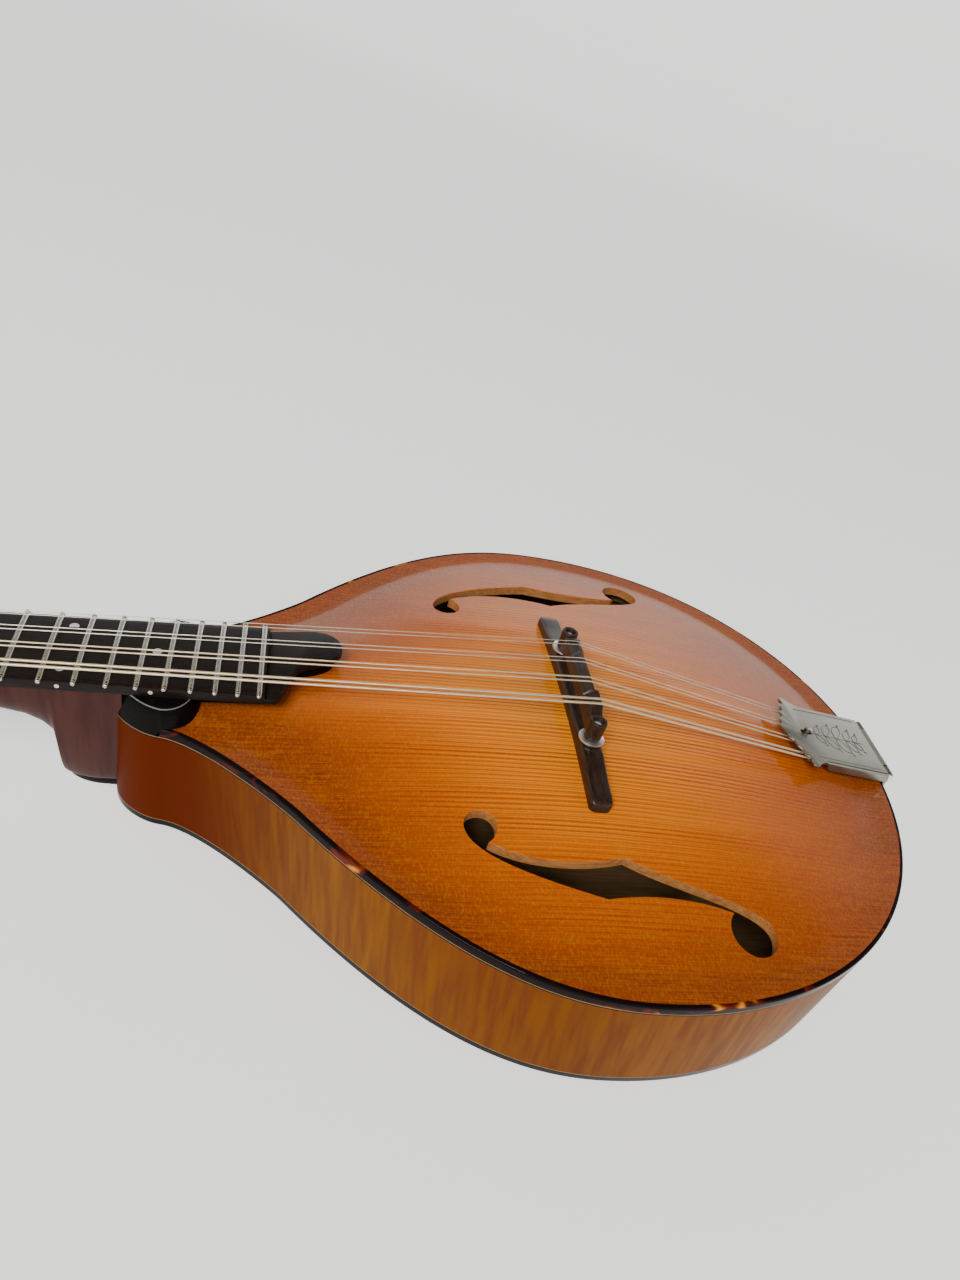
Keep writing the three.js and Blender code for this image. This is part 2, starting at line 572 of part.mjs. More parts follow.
const bridgeStart = BRIDGE_X - BRIDGE_WIDTH / 2;
let bridgeBase = solid(alongX(bridgeBaseShape(), bridgeStart, bridgeStart + BRIDGE_WIDTH, 4));
const STRING_PLANE_AT_SADDLE = FRET_PLANE_AT_BRIDGE + STRING_HEIGHT_AT_SADDLE;
const saddleShape = new THREE.Shape();
saddleShape.moveTo(-22.5, 18.6);
saddleShape.lineTo(22.5, 18.6);
saddleShape.lineTo(24.5, 17.8);
saddleShape.lineTo(26, 17.8);
saddleShape.lineTo(26, 24.6);
saddleShape.lineTo(20.3, STRING_PLANE_AT_SADDLE - 1.2);
saddleShape.quadraticCurveTo(0, STRING_PLANE_AT_SADDLE + 0.3, -20.3, STRING_PLANE_AT_SADDLE - 1.2);
saddleShape.lineTo(-26, 24.6);
saddleShape.lineTo(-26, 17.8);
saddleShape.lineTo(-24.5, 17.8);
let saddle = solid(alongX(saddleShape, BRIDGE_X - 2.6, BRIDGE_X + 2.9, 8));
for (const [name, side] of Object.entries(SIDES)) {
  const y = side * BRIDGE_POST_Y;
  const drill = solid(upright(BRIDGE_POST_RADIUS + 0.3, 17, 40, BRIDGE_X, y, 12));
  saddle = saddle.add(solid(upright(3.3, 17.8, 25.5, BRIDGE_X, y, 14))).subtract(drill);
  bridgeBase = bridgeBase.subtract(solid(upright(BRIDGE_POST_RADIUS + 0.1, 12.4, 30, BRIDGE_X, y, 12)));
  add(body, `bridge_post_${name}`, 'steel', upright(BRIDGE_POST_RADIUS, 12.5, 24.4, BRIDGE_X, y, 12));
  const wheel = solid(upright(THUMBWHEEL_RADIUS, 16.5, 17.6, BRIDGE_X, y, 16));
  const bore = solid(upright(BRIDGE_POST_RADIUS + 0.1, 10, 30, BRIDGE_X, y, 12));
  add(body, `thumbwheel_${name}`, 'nickel', wheel.subtract(bore));
}
add(body, 'bridge_base', 'rosewood', bridgeBase);
add(body, 'bridge_saddle', 'rosewood', saddle);

// ---------------------------------------------------------------- tailpiece and end pin
const coverSlope = (COVER_FRONT_HEIGHT - COVER_REAR_HEIGHT) / (COVER_REAR - 100);
const coverHeight = (x) => COVER_REAR_HEIGHT + (COVER_REAR - x) * coverSlope;

function coverShape() {
  const edge = [
    [COVER_REAR - 1.7, 0], [COVER_REAR - 1.7, COVER_HALF_WIDTH], [110, COVER_HALF_WIDTH],
    [106.5, 18.4], [104.2, 21], [102, 21.4], [100.8, 19.4], [101.8, 17.4], [99.6, 14],
    [99.8, 11.6], [97.6, 9.4], [97.2, 6.6], [95.2, 3.6], [COVER_FRONT, 0],
  ];
  return shapeOf(edge.concat(edge.slice(1, -1).reverse().map(([x, y]) => [x, -y])));
}

const skirtShape = (drop) => shapeOf([
  [112, coverHeight(112) - 0.2], [COVER_REAR - 1.9, coverHeight(COVER_REAR - 1.9) - 0.2],
  [COVER_REAR - 1.9, coverHeight(COVER_REAR - 1.9) - drop], [114, coverHeight(114) - drop],
]);
let cover = solid(slab(coverShape(), -COVER_SHEET, 0).rotateY(Math.atan(coverSlope))
  .translate(0, 0, COVER_REAR_HEIGHT + COVER_REAR * coverSlope));
for (const side of [1, -1]) {
  const skirt = alongY(skirtShape(COVER_SKIRT), COVER_SHEET / 2);
  cover = cover.add(solid(skirt.translate(0, side * (COVER_HALF_WIDTH - COVER_SHEET / 2), 0)));
}
const slot = box([104.6, -1.5, 0], [108.8, 1.5, 20]);
const barrel = solid(across(HINGE_BARREL_RADIUS, -11.5, 11.5, COVER_REAR, HINGE_HEIGHT, 14))
  .add(box([COVER_REAR - 3.2, -11.5, 6], [COVER_REAR, 11.5, HINGE_HEIGHT + HINGE_BARREL_RADIUS - 0.1]));
const pinBore = solid(across(HINGE_PIN_RADIUS + 0.1, -30, 30, COVER_REAR, HINGE_HEIGHT, 12));
add(body, 'tailpiece_cover', 'nickel', cover.add(barrel).subtract(slot).subtract(pinBore));
const hingePin = across(HINGE_PIN_RADIUS, -16.2, 16.2, COVER_REAR, HINGE_HEIGHT, 12);
add(body, 'tailpiece_hinge_pin', 'steel', hingePin);

const leafShape = shapeOf([
  [103, 6.6], [142, 2.1], [145.6, 1.8], [145.6, -38], [146.9, -38], [146.9, 2.6], [142.4, 3.2], [103, 7.8],
]);
let tailpiece = solid(alongY(leafShape, 14));
const knuckles = solid(across(HINGE_BARREL_RADIUS, 12, 16, COVER_REAR, HINGE_HEIGHT, 14))
  .add(box([COVER_REAR - 1.2, 12, 2.2], [COVER_REAR + 1.4, 16, HINGE_HEIGHT]));
tailpiece = tailpiece.add(knuckles).add(knuckles.mirror([0, 1, 0]))
  .add(box([105.6, -0.9, 6], [107.4, 0.9, COVER_FRONT_HEIGHT + 1.2]));
const HOOK_X = 121;
for (const course of COURSES) {
  for (const side of [-1, 1]) {
    const y = course * SPREAD_AT_TAIL + side * PAIR_HALF_GAP[2];
    tailpiece = tailpiece.add(box([HOOK_X, y - 0.8, 4], [HOOK_X + 2.4, y + 0.8, 7.5]));
  }
}
const leafHole = solid(lengthwise(3.6, 140, 150, 0, -END_PIN_DROP));
add(body, 'tailpiece_base', 'nickel', tailpiece.subtract(pinBore).subtract(leafHole));

const pinProfile = [
  [0, 118], [2.6, 118], [3, 121], [3, 147.2], [8, 147.2], [8, 148.6], [4.6, 151], [4.2, 154], [6.6, 156.5],
  [7.2, 159], [6.6, 161.2], [4.5, 162], [0, 162],
].map(([radius, x]) => new THREE.Vector2(radius, x));
const endPin = new THREE.LatheGeometry(pinProfile, 14).rotateZ(-Math.PI / 2).translate(0, 0, -END_PIN_DROP);
add(body, 'end_pin', 'ebony', endPin);

// ---------------------------------------------------------------- tuning machines
const plateTop = -HEADPLATE_THICKNESS - FRAME_GAP - HEAD_THICKNESS - FRAME_GAP;
const PLATE_SHEET = 1;
const gearTop = plateTop - PLATE_SHEET - FRAME_GAP;
const WORM_HEIGHT = gearTop - 2.4;

function gearShape() {
  const points = [];
  for (let tooth = 0; tooth < GEAR_TEETH; tooth++) {
    for (const [share, radius] of [[0.1, 0.82], [0.55, 1]]) {
      const angle = 2 * Math.PI * (tooth + share) / GEAR_TEETH;
      points.push([radius * GEAR_RADIUS * Math.cos(angle), radius * GEAR_RADIUS * Math.sin(angle)]);
    }
  }
  return shapeOf(points);
}

for (const [name, side] of Object.entries(SIDES)) {
  const strip = box([POST_FIRST - 3 * POST_PITCH - 8, side * 17.5 - 5, plateTop - PLATE_SHEET],
    [POST_FIRST + 18, side * 17.5 + 5, plateTop]);
  let plate = strip;
  for (const post of posts.filter((each) => each.side === side)) {
    const hole = solid(upright(POST_RADIUS + 0.3, -30, 10, post.x, side * POST_OFFSET, 12));
    plate = plate.subtract(hole);
  }
  add(headFrame, `tuner_plate_${name}`, 'nickel', plate);
}

for (const post of posts) {
  const y = post.side * POST_OFFSET;
  const profile = [
    [0, gearTop - 3.4], [POST_RADIUS, gearTop - 3.4], [POST_RADIUS, 3.4], [2.4, 4], [2.4, 5.4],
    [POST_RADIUS, 6], [POST_RADIUS, 8], [2, 8.8], [0, 8.8],
  ].map(([radius, height]) => new THREE.Vector2(radius, height));
  const stem = solid(new THREE.LatheGeometry(profile, 10).rotateX(Math.PI / 2));
  const gear = solid(slab(gearShape(), gearTop - 3, gearTop));
  add(headFrame, `tuner_post_${post.name}`, 'nickel', geometryOf(stem.add(gear)).translate(post.x, y, 0));

  const wormX = post.x + WORM_OFFSET;
  const out = post.side;
  const worm = solid(across(WORM_RADIUS, -5.5, 5.5, 0, 0, 10))
    .add(solid(across(1.5, -8, BUTTON_OFFSET - 5, 0, 0, 8)))
    .add(solid(new THREE.SphereGeometry(1, 10, 7).scale(6.2, 8, 3.2).translate(0, BUTTON_OFFSET, 0)));
  const placed = geometryOf(worm).rotateX(out > 0 ? 0 : Math.PI).translate(wormX, y, WORM_HEIGHT);
  add(headFrame, `tuner_worm_${post.name}`, 'pearl_plastic', placed);
}

// ---------------------------------------------------------------- strings
// A route of straight stretches: each step of an extrusion along it falls on a bend.
class Route extends THREE.Curve {
  constructor(points) {
    super();
    this.points = points;
  }

  getPoint(t) {
    const place = Math.min(t, 1) * (this.points.length - 1);
    const index = Math.min(Math.floor(place), this.points.length - 2);
    return new THREE.Vector3().lerpVectors(this.points[index], this.points[index + 1], place - index);
  }

  getPointAt(u) {
    return this.getPoint(u);
  }

  getTangentAt(u) {
    const index = Math.round(u * (this.points.length - 1));
    const before = this.points[Math.max(index - 1, 0)];
    const after = this.points[Math.min(index + 1, this.points.length - 1)];
    return new THREE.Vector3().subVectors(after, before).normalize();
  }
}

// Strings in order from the bass side, and the post each one winds on.
const POST_ORDER = ['bass_1', 'bass_2', 'bass_3', 'bass_4', 'treble_4', 'treble_3', 'treble_2', 'treble_1'];
STRING_NAMES.forEach((name, i) => {
  const course = COURSES[Math.floor(i / 2)];
  const place = i % 2 === 0 ? -1 : 1;
  const radius = STRING_RADII[i];
  const post = posts.find((each) => each.name === POST_ORDER[i]);
  const crown = 0.65 * (1 - course * course);
  const atNut = course * SPREAD_AT_NUT + place * PAIR_HALF_GAP[0];
  const atSaddle = course * SPREAD_AT_SADDLE + place * PAIR_HALF_GAP[1];
  const atTail = course * SPREAD_AT_TAIL + place * PAIR_HALF_GAP[2];
  const postSide = post.side * (POST_OFFSET - POST_RADIUS - radius - 0.35);
  const end = SCALE_LENGTH + STRING_COMPENSATION[i];
  const fretTop = BOARD_TOP + FRET_HEIGHT - atNut ** 2 / (2 * BOARD_CROWN_RADIUS);
  const nutHeight = fretTop + STRING_CLEARANCE_AT_NUT + radius;
  const points = [
    inBody(headFrame, [post.x + 1, postSide, 4.7]),
    inBody(neckFrame, [-4.6, atNut, nutHeight]),
    inBody(neckFrame, [0, atNut, nutHeight]),
    inBody(neckFrame, [end, atSaddle, STRING_HEIGHT_AT_SADDLE + crown]),
    new THREE.Vector3(99, THREE.MathUtils.lerp(atSaddle, atTail, 0.82), 9.3),
    new THREE.Vector3(HOOK_X - 0.4, atTail, 7.1),
  ];
  const section = new THREE.Shape().absarc(0, 0, radius, 0, 2 * Math.PI);
  const options = { steps: points.length - 1, extrudePath: new Route(points), curveSegments: 4 };
  const geometry = new THREE.ExtrudeGeometry(section, options);
  add(body, `string_${name}`, i < 4 ? 'bronze' : 'steel', geometry);
});

export default mandolin;
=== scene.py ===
import math

import bpy
import bmesh
import numpy as np
from mathutils import Matrix, Vector
from mathutils.geometry import delaunay_2d_cdt


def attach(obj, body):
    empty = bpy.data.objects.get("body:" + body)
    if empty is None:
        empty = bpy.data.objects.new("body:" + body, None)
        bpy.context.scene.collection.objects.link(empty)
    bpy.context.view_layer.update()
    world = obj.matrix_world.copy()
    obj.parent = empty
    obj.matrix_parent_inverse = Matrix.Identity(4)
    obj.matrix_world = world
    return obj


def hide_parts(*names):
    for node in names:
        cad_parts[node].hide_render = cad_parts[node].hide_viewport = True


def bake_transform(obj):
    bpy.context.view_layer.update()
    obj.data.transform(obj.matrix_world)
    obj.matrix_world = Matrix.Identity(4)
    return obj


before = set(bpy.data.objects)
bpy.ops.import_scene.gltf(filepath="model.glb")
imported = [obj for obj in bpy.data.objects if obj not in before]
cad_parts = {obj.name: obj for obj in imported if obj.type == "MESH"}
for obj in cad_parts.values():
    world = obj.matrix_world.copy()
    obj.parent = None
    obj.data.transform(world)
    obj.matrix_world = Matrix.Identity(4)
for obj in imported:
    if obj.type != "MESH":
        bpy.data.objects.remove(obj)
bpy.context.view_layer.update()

# ---------------- dimensions of the frame, in millimetres
SCALE = 352.4                     # nut to the bridge, before compensation
NECK_ANGLE, HEAD_ANGLE = 4.44, 10.8
PLANE = 22.9                      # fret plane over the body's edge at the bridge
DEPTH, TOP_ARCH, BACK_ARCH = 48.5, 11.5, 12.5
EDGE = 61.0                       # top edge over the origin
PLATE_THICK = 3.9
PLATE_EDGE = 3.3                  # a plate's thickness at its rim, and the height of a binding
RIB_THICK, BINDING_WIDE = 2.2, 1.58
COURSES = (-1, -1 / 3, 1 / 3, 1)  # bass to treble, as shares of half the string band
SIDES = {"treble": 1, "bass": -1}
BRIDGE_X = 0.5
STUD_Y = 26.6                     # the saddle's studs, either side of the middle
FIRST_POST, POST_PITCH, POST_Y = -38, 23.3, 17.5
HINGE_X, HINGE_Z = 143.3, 5.4     # the tailpiece cover's pin
FULL_TURN = 2 * math.pi


def shift(x, y, z):
    matrix = np.eye(4)
    matrix[:3, 3] = x, y, z
    return matrix


def turn(axis, degrees):
    c, s = math.cos(math.radians(degrees)), math.sin(math.radians(degrees))
    i, j = {"X": (1, 2), "Y": (2, 0)}[axis]
    matrix = np.eye(4)
    matrix[[i, j, i, j], [i, j, j, i]] = c, c, -s, s
    return matrix


COSINE, SLOPE = math.cos(math.radians(NECK_ANGLE)), math.tan(math.radians(NECK_ANGLE))
NUT_X = -SCALE * COSINE
# The three frames that pieces are drawn in. Each takes millimetres to the part's own frame.
BODY = shift(0, 0, EDGE)
NECK = BODY @ shift(NUT_X, 0, PLANE - SCALE * math.sin(math.radians(NECK_ANGLE))) @ turn("Y", -NECK_ANGLE)
HEAD = NECK @ shift(-4.7, 0, -3.2) @ turn("Y", -HEAD_ANGLE)
NECK_IN_BODY, HEAD_IN_BODY = (np.linalg.inv(BODY) @ matrix for matrix in (NECK, HEAD))


def moved(points, matrix):
    points = np.atleast_2d(np.asarray(points, float))
    return points @ matrix[:3, :3].T + matrix[:3, 3]


def unit(vectors):
    return vectors / np.maximum(np.linalg.norm(vectors, axis=-1, keepdims=True), 1e-9)


# ---------------- materials
class Look:
    """A node material round one Principled shader."""

    def __init__(self, name, color, **sockets):
        self.material = bpy.data.materials.new(name)
        self.material.use_nodes = True
        self.tree = self.material.node_tree
        self.shader = self.tree.nodes["Principled BSDF"]
        self.shader.inputs["Base Color"].default_value = (*color, 1)
        for socket, value in sockets.items():
            self.shader.inputs[socket.replace("_", " ")].default_value = value

    def feed(self, socket, value):
        if isinstance(value, bpy.types.NodeSocket):
            self.tree.links.new(value, socket)
        elif hasattr(socket.default_value, "__len__") and len(socket.default_value) == 4:
            socket.default_value = (*value, 1)
        else:
            socket.default_value = value

    def node(self, kind, settings=None, **inputs):
        node = self.tree.nodes.new("ShaderNode" + kind)
        for key, value in (settings or {}).items():
            setattr(node, key, value)
        for key, value in inputs.items():
            self.feed(node.inputs[key.replace("_", " ")], value)
        return node

    def place(self):
        return self.node("TexCoord").outputs["Object"]

    def attribute(self, name):
        return self.node("Attribute", {"attribute_name": name}).outputs

    def stretched(self, vector, scale, start=(0, 0, 0)):
        return self.node("Mapping", Vector=vector, Location=start, Scale=scale).outputs["Vector"]

    def noise(self, vector, scale, detail=3.0, rough=0.5, distortion=0.0, start=(0, 0, 0)):
        made = self.node("TexNoise", Vector=self.stretched(vector, scale, start), Scale=1.0, Detail=detail,
                         Roughness=rough, Distortion=distortion)
        return made.outputs["Fac"]

    def wave(self, direction, vector, scale, **inputs):
        kind = {"wave_type": "BANDS", "bands_direction": direction, "wave_profile": "SIN"}
        return self.node("TexWave", kind, Vector=vector, Scale=scale, **inputs).outputs["Fac"]

    def ramp(self, value, *stops):
        made = self.node("ValToRGB", Fac=value)
        elements = made.color_ramp.elements
        while len(elements) < len(stops):
            elements.new(0.5)
        for element, (position, color) in zip(elements, stops):
            element.position = position
            element.color = (*color, 1) if hasattr(color, "__len__") else (color, color, color, 1)
        return made.outputs["Color"]

    def mix(self, share, a, b):
        made = self.node("Mix", {"data_type": "RGBA"})
        for socket, value in ((0, share), (6, a), (7, b)):
            self.feed(made.inputs[socket], value)
        return made.outputs[2]

    def math(self, operation, a, b=0.0):
        made = self.node("Math", {"operation": operation})
        self.feed(made.inputs[0], a)
        self.feed(made.inputs[1], b)
        return made.outputs[0]

    def between(self, value, low, high, at_low, at_high):
        return self.node("MapRange", Value=value, From_Min=low, From_Max=high, To_Min=at_low,
                         To_Max=at_high).outputs["Result"]

    def tinted(self, color, tint, value, low, high, most):
        """The color, with a share of tint that rises to most as the value goes from low to high."""
        share = self.math("MULTIPLY", self.ramp(value, (low, 0.0), (high, 1.0)), most)
        return self.mix(share, color, tint)

    def set(self, **sockets):
        for key, value in sockets.items():
            self.feed(self.shader.inputs[key.replace("_", " ")], value)

    def bump(self, height, distance, strength, socket="Normal"):
        made = self.node("Bump", Height=height, Distance=distance, Strength=strength)
        self.feed(self.shader.inputs[socket], made.outputs["Normal"])
        return self.material


def spruce_look():
    """Amber lacquer over straight grain: a bright middle that darkens to red-brown at the edge."""
    look = Look("spruce", (0.6, 0.2, 0.02), Roughness=0.5, Specular_IOR_Level=0.1, Coat_Weight=0.62,
                Coat_Roughness=0.08, Coat_IOR=1.45)
    place = look.place()
    rim = look.attribute("rim")["Fac"]
    cloud = look.noise(place, (6, 22, 6), 3)
    burst = look.math("ADD", rim, look.math("MULTIPLY", look.math("SUBTRACT", cloud, 0.5), 0.45))
    along = look.node("SeparateXYZ", Vector=place).outputs["X"]
    burst = look.math("ADD", burst, look.between(along, -0.03, -0.12, 0.0, 0.20))
    color = look.ramp(burst, (0.0, (1.0, 0.36, 0.0002)), (0.40, (0.94, 0.245, 0.0002)),
                      (0.70, (0.54, 0.105, 0.0004)), (0.90, (0.29, 0.050, 0.002)),
                      (1.0, (0.18, 0.030, 0.003)))
    flat = look.stretched(place, (0.10, 1.0, 0.25))
    line = None
    for count, wander, low, reach in ((155.0, 9.0, 0.42, 0.92), (330.0, 12.0, 0.45, 0.60)):
        rings = look.wave("Y", flat, count, Distortion=wander, Detail=4.0, Detail_Scale=0.2,
                          Detail_Roughness=0.6)
        strength = look.noise(place, (3, 0.7 * count, 2), 2)
        layer = look.math("MULTIPLY", look.ramp(rings, (low, 0.0), (0.95, reach)),
                          look.ramp(strength, (0.34, 0.30), (0.60, 1.0)))
        line = layer if line is None else look.math("MAXIMUM", line, layer)
    color = look.mix(line, color, (0.34, 0.036, 0.0004))
    fibre = look.noise(place, (60, 2600, 400), 3, 0.6)
    color = look.tinted(color, (0.80, 0.28, 0.004), fibre, 0.4, 0.75, 0.20)
    silk = look.noise(place, (1500, 650, 300), 2, 0.6, 0.4)
    color = look.tinted(color, (0.90, 0.33, 0.006), silk, 0.47, 0.66, 0.15)
    look.set(Base_Color=color)
    look.bump(line, 0.00003, 0.4)
    return look.bump(look.noise(place, (24, 60, 24), 2), 0.00025, 0.35, "Coat Normal")


def maple_look(name, light, dark, red):
    """Lacquered maple: wavy curl bands that run across the piece's length, and short pore flecks.
    The piece's darkening attribute turns it towards dark red and thins its coat: mostly painted shade on the
    ribs, the back plate's own darker rim on the back."""
    look = Look(name, light, Roughness=0.5, Coat_Roughness=0.1, Specular_IOR_Level=0.02)
    place = look.attribute("arc")["Vector"]
    curl = look.noise(place, (190, 22, 1), 2.5, 0.55, 0.5)
    fine = look.noise(place, (480, 36, 1), 2, 0.5, 0.3)
    bands = look.math("ADD", look.math("MULTIPLY", curl, 0.6), look.math("MULTIPLY", fine, 0.4))
    middle = tuple((a + b) / 2 for a, b in zip(light, dark))
    color = look.ramp(bands, (0.40, dark), (0.50, middle), (0.60, light))
    broad = look.noise(place, (9, 5, 1), 2)
    color = look.tinted(color, red, broad, 0.35, 0.7, 0.55)
    grain = look.noise(place, (90, 2400, 1), 3, 0.65)
    color = look.tinted(color, [0.45 * c for c in dark], grain, 0.5, 0.8, 0.22)
    # Painted shade, mixed with the wood's own darker tone: the attribute turns the colour towards dark red
    # and takes the coat's reflection away there.
    shade = look.attribute("shade")["Fac"]
    color = look.mix(shade, color, (0.6 * red[0], 0.4 * red[1], 0.4 * red[2]))
    look.set(Base_Color=color, Coat_Weight=look.math("MULTIPLY", look.math("SUBTRACT", 1.0, shade), 0.14))
    return look.bump(look.noise(place, (40, 30, 1), 2), 0.0002, 0.35, "Coat Normal")


def dark_wood_look(name, dark, light, stretch=(60, 1800, 1800), gloss=0.0, rough=0.42, shine=0.25):
    look = Look(name, dark, Roughness=rough, Coat_Weight=gloss, Coat_Roughness=0.12, Specular_IOR_Level=shine)
    place = look.place()
    grain = look.noise(place, stretch, 4, 0.62, 0.15)
    pores = look.noise(place, tuple(1.9 * s for s in stretch), 2, 0.5)
    color = look.ramp(grain, (0.38, dark), (0.72, light))
    look.set(Base_Color=look.tinted(color, [0.25 * c for c in dark], pores, 0.62, 0.7, 0.8))
    return look.bump(pores, 0.00005, 0.35)


def bare_wood_look(name, light, dark, stretch):
    look = Look(name, light, Roughness=0.75)
    grain = look.noise(look.place(), stretch, 4, 0.6)
    look.set(Base_Color=look.ramp(grain, (0.35, dark), (0.65, light)))
    return look.bump(grain, 0.0001, 0.5)


def tortoise_look():
    look = Look("tortoiseshell", (0.02, 0.008, 0.006), Roughness=0.12, Specular_IOR_Level=0.055)
    place = look.attribute("arc")["Vector"]
    patch = look.noise(place, (62, 130, 60), 2.5, 0.55, 0.9, start=(2.2, 0, 0))
    look.set(Base_Color=look.ramp(patch, (0.56, (0.008, 0.004, 0.004)), (0.64, (0.10, 0.012, 0.005)),
                                  (0.69, (0.42, 0.12, 0.010)), (0.76, (0.75, 0.34, 0.03))))
    return look.material


def metal_look(name, color, rough, stretch=(300, 300, 300), wear=0.1, metallic=1.0):
    look = Look(name, color, Metallic=metallic, Roughness=rough)
    place = look.place()
    cloud = look.noise(place, (90, 90, 90), 3)
    scratch = look.noise(place, stretch, 4, 0.65)
    worn = look.ramp(cloud, (0.3, 0.0), (0.7, 1.0))
    look.set(Base_Color=look.mix(worn, [0.86 * c for c in color], color))
    look.set(Roughness=look.between(scratch, 0.0, 1.0, max(rough - wear, 0.03), rough + wear))
    return look.bump(scratch, 0.00002, 0.3)


def plastic_look(name, color, second, rough, scale, coat=0.3, shine=0.2):
    look = Look(name, color, Roughness=rough, Coat_Weight=coat, Coat_Roughness=0.08, Specular_IOR_Level=shine)
    cloud = look.noise(look.place(), (scale, scale, scale), 3, 0.55, 0.8)
    look.set(Base_Color=look.ramp(cloud, (0.35, color), (0.65, second)))
    return look.bump(look.noise(look.place(), (900, 900, 900), 2), 0.00001, 0.25)


def wound_look():
    look = Look("bronze_wound", (0.80, 0.62, 0.40), Metallic=0.85, Roughness=0.34)
    turns = look.wave("X", look.place(), 1250.0)
    look.set(Base_Color=look.mix(turns, (0.72, 0.55, 0.33), (0.94, 0.78, 0.53)))
    return look.bump(turns, 0.00004, 0.35)


SPRUCE = spruce_look()
RIB_MAPLE = maple_look("maple_ribs", (0.25, 0.090, 0.001), (0.15, 0.045, 0.0005), (0.14, 0.027, 0.0005))
BACK_MAPLE = maple_look("maple_back", (0.26, 0.080, 0.002), (0.10, 0.026, 0.001), (0.13, 0.022, 0.0015))
NECK_MAPLE = maple_look("maple_neck", (0.062, 0.022, 0.017), (0.042, 0.014, 0.012), (0.048, 0.014, 0.012))
EBONY = dark_wood_look("ebony", (0.005, 0.0035, 0.003), (0.018, 0.010, 0.0075), shine=0.15)
BLACK_GLOSS = dark_wood_look("ebony_polished", (0.003, 0.0024, 0.0024), (0.006, 0.0045, 0.0045),
                             gloss=0.05, rough=0.3, shine=0.035)
# Painted highlight: a light grey ebony for the ears' rounded top edge, standing in for the light that this
# polished arris catches.
ARRIS_HIGHLIGHT = dark_wood_look("ebony_arris_painted_highlight", (0.16, 0.155, 0.145), (0.20, 0.19, 0.18))
ROSEWOOD = dark_wood_look("rosewood", (0.011, 0.006, 0.004), (0.055, 0.025, 0.012), (1500, 55, 1300),
                          gloss=0.12, rough=0.4)
EDGE_WOOD = bare_wood_look("cut_edge", (0.46, 0.20, 0.05), (0.30, 0.10, 0.02), (90, 1500, 900))
INSIDE_WOOD = bare_wood_look("inside_wood", (0.24, 0.135, 0.050), (0.16, 0.085, 0.030), (40, 900, 900))
TORTOISE = tortoise_look()
IVORY_LINE = plastic_look("ivory_line", (0.27, 0.17, 0.07), (0.21, 0.13, 0.05), 0.4, 60, 0.0, 0.05)
DARK_LINE = plastic_look("dark_line", (0.012, 0.004, 0.003), (0.02, 0.006, 0.004), 0.35, 60, 0.0, 0.04)
BLACK_PLASTIC = plastic_look("black_binding", (0.004, 0.0035, 0.0035), (0.007, 0.006, 0.006), 0.2, 50,
                             coat=0.02, shine=0.07)
BONE = plastic_look("bone", (0.72, 0.67, 0.54), (0.64, 0.58, 0.45), 0.42, 150)
PEARL = plastic_look("pearl", (0.78, 0.76, 0.70), (0.55, 0.58, 0.60), 0.22, 500, 0.8)
BUTTON = plastic_look("button_pearl", (0.80, 0.76, 0.64), (0.66, 0.62, 0.52), 0.25, 120, 0.8)
SIDE_DOT = plastic_look("side_dot", (0.75, 0.66, 0.42), (0.68, 0.58, 0.36), 0.4, 100)
NICKEL = metal_look("nickel", (0.31, 0.29, 0.245), 0.30, (60, 1400, 60))
BRIGHT_NICKEL = metal_look("nickel_bright", (0.90, 0.89, 0.85), 0.34, (500, 500, 500), 0.06)
FRET_METAL = metal_look("fret_nickel", (0.52, 0.50, 0.44), 0.26, (900, 60, 60), 0.08)
STEEL = metal_look("steel", (0.86, 0.84, 0.80), 0.25, (60, 900, 900), 0.08)
PLAIN_STRING = metal_look("plain_string", (0.88, 0.79, 0.62), 0.34, (60, 900, 900), 0.05, 0.85)
BRASS = metal_look("brass", (0.72, 0.52, 0.22), 0.30)
ENGRAVED = metal_look("engraved_nickel", (0.20, 0.19, 0.17), 0.5)
BRONZE = wound_look()


# ---------------- mesh helpers, in millimetres
def solid(name, shape, matrix=BODY, outward=True):
    """Makes one object from (vertices, faces), with its faces turned outwards."""
    mesh = bpy.data.meshes.new(name)
    mesh.from_pydata((moved(shape[0], matrix) / 1000).tolist(), [], [tuple(map(int, f)) for f in shape[1]])
    if outward:
        work = bmesh.new()
        work.from_mesh(mesh)
        bmesh.ops.recalc_face_normals(work, faces=work.faces)
        work.to_mesh(mesh)
        work.free()
    made = bpy.data.objects.new(name, mesh)
    bpy.context.scene.collection.objects.link(made)
    return made


def mark(mesh, name, values):
    """Gives every vertex a number, or a vector, for the materials to read."""
    values = np.asarray(values, np.float32)
    kind, field = ("FLOAT", "value") if values.ndim == 1 else ("FLOAT_VECTOR", "vector")
    mesh.attributes.new(name, kind, "POINT").data.foreach_set(field, values.ravel())


def piece(name, shape, material, matrix=BODY, body="instrument", replaces=None, smooth=35,
          normals=None, attributes=None, face_material=None):
    """A visible piece, shaded and hung on its body. smooth is the angle where its edges turn sharp."""
    made = solid(name, shape, matrix, normals is None)
    mesh = made.data
    looks = material if isinstance(material, list) else [material]
    for look in looks:
        mesh.materials.append(look)
    if face_material is not None:
        mesh.polygons.foreach_set("material_index", np.asarray(face_material, np.int32))
    for key, values in (attributes or {}).items():
        mark(mesh, key, values)
    mesh.shade_smooth()
    if normals is not None:
        mesh.normals_split_custom_set((np.asarray(normals) @ matrix[:3, :3].T).tolist())
    else:
        mesh.set_sharp_from_angle(angle=math.radians(smooth))
    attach(made, body)
    if replaces:
        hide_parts(replaces)
    look = looks[0].name.split(".")[0]    # the frame's own materials hold the plain names already
    return made


